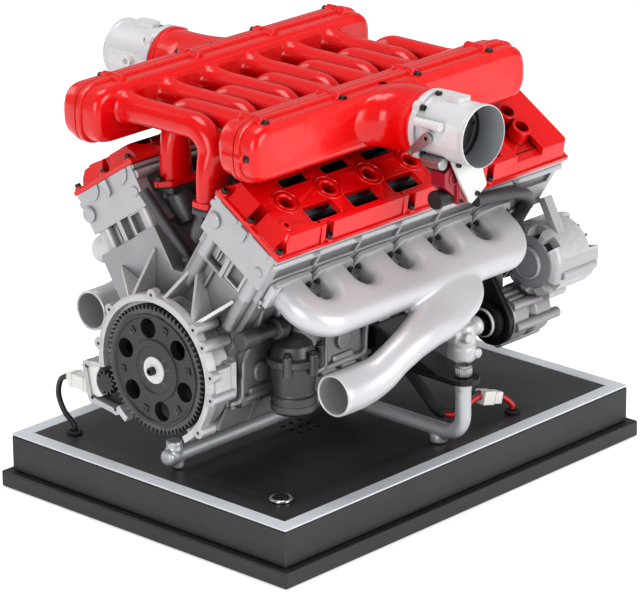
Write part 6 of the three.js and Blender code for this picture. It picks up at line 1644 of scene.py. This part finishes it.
FRONT_LEAD = [(-127, 74.8, 68.5), (-127, 78.5, 68.3), (-127, 84, 64.5), (-126, 87, 55), (-124, 85, 45),
              (-121.6, 81.6, 39), (-120.8, 80.1, 36), (-120.8, 80.1, 33.8)]
REAR_LEAD = [(29, -28.3, 63.9), (28.5, -33, 61.9), (26, -44, 57), (23.5, -58, 48), (23.5, -67, 41),
             (27, -74.5, 39.5), (33, -78.5, 43.5), (41.9, -80, 47.3), (52, -80, 44.6), (62.1, -80, 41.9),
             (66, -82, 39), (68, -84, 36), (68, -84, 33.8)]
LEAD_RADIUS = 1.6
LEAD_UP = (0.2, 0.1, 1)


def lead(name, points, material):
    line = curved(points, 8)
    piece = swept(name, line, [LEAD_RADIUS] * len(line), up=LEAD_UP, sides=24)
    settled(piece, material, nodes=[f"lead_{name.split('_')[0]}"], angle=70)
    return line


def leads():
    front, rear = lead("front_wire", FRONT_LEAD, BLACK_WIRE), lead("rear_wire", REAR_LEAD, RED_WIRE)
    sleeve = rear[2:37]
    sizes = [3.3] * (len(sleeve) - 2) + [3.1, 2.5]
    settled(swept("rear_sleeve", sleeve, sizes, up=LEAD_UP, sides=32), RUBBER, angle=60)
    beside = [point + Vector((0.4, 0.8, 2.1)) for point in rear[36:61]]
    second = swept("rear_second_wire", beside, [1.2] * len(beside), up=LEAD_UP, sides=20)
    settled(second, BLACK_WIRE, angle=70)
    boot = swept("front_lead_boot", front[0:7], between([2.6, 2.4, 1.9], 3), up=LEAD_UP, sides=24)
    settled(boot, WHITE_WIRE, angle=60)
    pieces = [block("shell", -131, -123, 57.5, 74.5, 64.5, 72.5)]
    pieces += [block("rib", -131.4, -122.6, y, y + 1.2, 64.1, 72.9) for y in (58.6, 61.2, 70.6)]
    shell = rounded(gathered("front_connector_shell", pieces), 0.5, 2)
    settled(shell, WHITE_MOULDING, nodes=["connector_front"])
    place = Matrix.Translation((52, -80, 44.6)) @ Matrix.Rotation(math.radians(15), 4, "Y")
    pieces = [block("socket", -8.4, 1.2, -4, 4, -4, 4, place),
              block("plug", 1.9, 8.4, -3.5, 3.5, -3.5, 3.5, place),
              block("latch", -4.5, 5.5, -1.6, 1.6, 3.8, 5.2, place),
              block("lip", 0.6, 2.4, -4.2, 4.2, -4.2, 4.2, place)]
    shell = cut(gathered("rear_connector_shell", pieces),
                rod("passage", (-12, 0, 0), (12, 0, 0), 1.75, 24, matrix=place))
    settled(rounded(shell, 0.4, 2), WHITE_MOULDING, nodes=["connector_rear"])


# Pieces under the panel

def inside_the_plinth():
    for node, material in (("speaker", BLACK_STEEL), ("control_board", BOARD_GREEN)):
        coated(node, material)


# View, floor and light

def camera():
    azimuth, elevation, roll = math.radians(-47.05), math.radians(19.6), math.radians(-0.53)
    back = Vector((math.sin(azimuth) * math.cos(elevation), -math.cos(azimuth) * math.cos(elevation),
                   math.sin(elevation)))
    across = Vector((math.cos(azimuth), math.sin(azimuth), 0))
    above = back.cross(across)
    right = math.cos(roll) * across + math.sin(roll) * above
    up = -math.sin(roll) * across + math.cos(roll) * above
    place = (Vector((-2.3, 0, 100.8)) + back * 2271) * MM
    turn = Matrix((right, up, back)).transposed().to_4x4()
    data = bpy.data.cameras.new("photo_view")
    data.sensor_width, data.lens, data.clip_end = 36, 225, 20
    viewer = bpy.data.objects.new("photo_view", data)
    viewer.matrix_world = Matrix.Translation(place) @ turn
    bpy.context.scene.collection.objects.link(viewer)
    bpy.context.scene.camera = viewer


def studio():
    """A white floor and backdrop to the camera, soft light on the object, and the object's own shadow."""
    scene = bpy.context.scene
    scene.view_settings.view_transform = "Standard"
    world = bpy.data.worlds.new("studio_air")
    world.use_nodes = True
    scene.world = world
    tree = world.node_tree
    tree.nodes.clear()
    rays = tree.nodes.new("ShaderNodeLightPath")
    seen = tree.nodes.new("ShaderNodeBackground")
    soft = tree.nodes.new("ShaderNodeBackground")
    soft.inputs["Strength"].default_value = 0.2
    direct = arithmetic(tree, "MAXIMUM", rays.outputs["Is Camera Ray"], rays.outputs["Is Transmission Ray"])
    reflected = arithmetic(tree, "MULTIPLY", rays.outputs["Is Glossy Ray"], 0.3)
    share = arithmetic(tree, "MAXIMUM", direct, reflected)
    mix = tree.nodes.new("ShaderNodeMixShader")
    out = tree.nodes.new("ShaderNodeOutputWorld")
    tree.links.new(share, mix.inputs[0])
    tree.links.new(soft.outputs[0], mix.inputs[1])
    tree.links.new(seen.outputs[0], mix.inputs[2])
    tree.links.new(mix.outputs[0], out.inputs["Surface"])
    for name, place, size, power in (("key", (0.5, -2.2, 0.75), 1.3, 36.0),
                                     ("side", (-2.2, -0.7, 0.8), 1.3, 28.0),
                                     ("top", (0.1, 0.2, 2.2), 1.2, 25.0),
                                     ("back", (-0.4, 2.0, 1.2), 1.2, 12.0)):
        data = bpy.data.lights.new(name, "AREA")
        data.size, data.energy = size, power
        lamp = bpy.data.objects.new(name, data)
        aim = (Vector((0, 0, 0.12)) - Vector(place)).to_track_quat("-Z", "Y")
        lamp.matrix_world = Matrix.Translation(place) @ aim.to_matrix().to_4x4()
        scene.collection.objects.link(lamp)
    floor = made("studio_floor", [(u, v, -0.3) for u, v in rectangle(-4000, 4000, -4000, 4000)],
                 [(0, 1, 2, 3)])
    if floor.data.polygons[0].normal.z < 0:
        floor.data.flip_normals()
    material = bpy.data.materials.new("studio_paper")
    material.use_nodes = True
    tree = material.node_tree
    shader = tree.nodes["Principled BSDF"]
    shader.inputs["Roughness"].default_value = 0.9
    shader.inputs["Specular IOR Level"].default_value = 0.1
    place = tree.nodes.new("ShaderNodeTexCoord").outputs["Object"]
    tone = mixed(tree, noise(tree, place, 3.0, 2.0), linear(246, 246, 246), linear(250, 250, 250))
    tree.links.new(tone, shader.inputs["Base Color"])
    rays = tree.nodes.new("ShaderNodeLightPath")
    glow = tree.nodes.new("ShaderNodeEmission")
    mix = tree.nodes.new("ShaderNodeAddShader")
    direct = arithmetic(tree, "MAXIMUM", rays.outputs["Is Camera Ray"], rays.outputs["Is Transmission Ray"])
    share = arithmetic(tree, "MAXIMUM", direct, rays.outputs["Is Glossy Ray"])
    tree.links.new(arithmetic(tree, "MULTIPLY", share, 0.45), glow.inputs["Strength"])
    tree.links.new(shader.outputs[0], mix.inputs[0])
    tree.links.new(glow.outputs[0], mix.inputs[1])
    tree.links.new(mix.outputs[0], tree.nodes["Material Output"].inputs["Surface"])
    floor.data.materials.append(material)


# The whole object

camera()
leads()
plinth()
push_button()
grommets()
stand()
engine_mounts()
engine_block()
oil_pan()
oil_filter()
pipes()
rear_cover()
bell_housing()
flywheel()
crankshaft()
starter_drive()
for bank in BANKS:
    cylinder_head(bank)
    for kind in CAM_OFFSETS:
        camshaft(bank, kind)
    valve_cover(bank)
    exhaust(bank)
    plenum_tub(bank)
    plenum_lid(bank)
    lower_intake(bank)
    throttle_body(bank)
    throttle_plate(bank)
coolant_hose()
throttle_side_plate()
throttle_actuator()
alternator()
alternator_rotor()
compressor()
coolant_pump()
inside_the_plinth()
studio()
for template in TEMPLATES.values():
    forget(template)
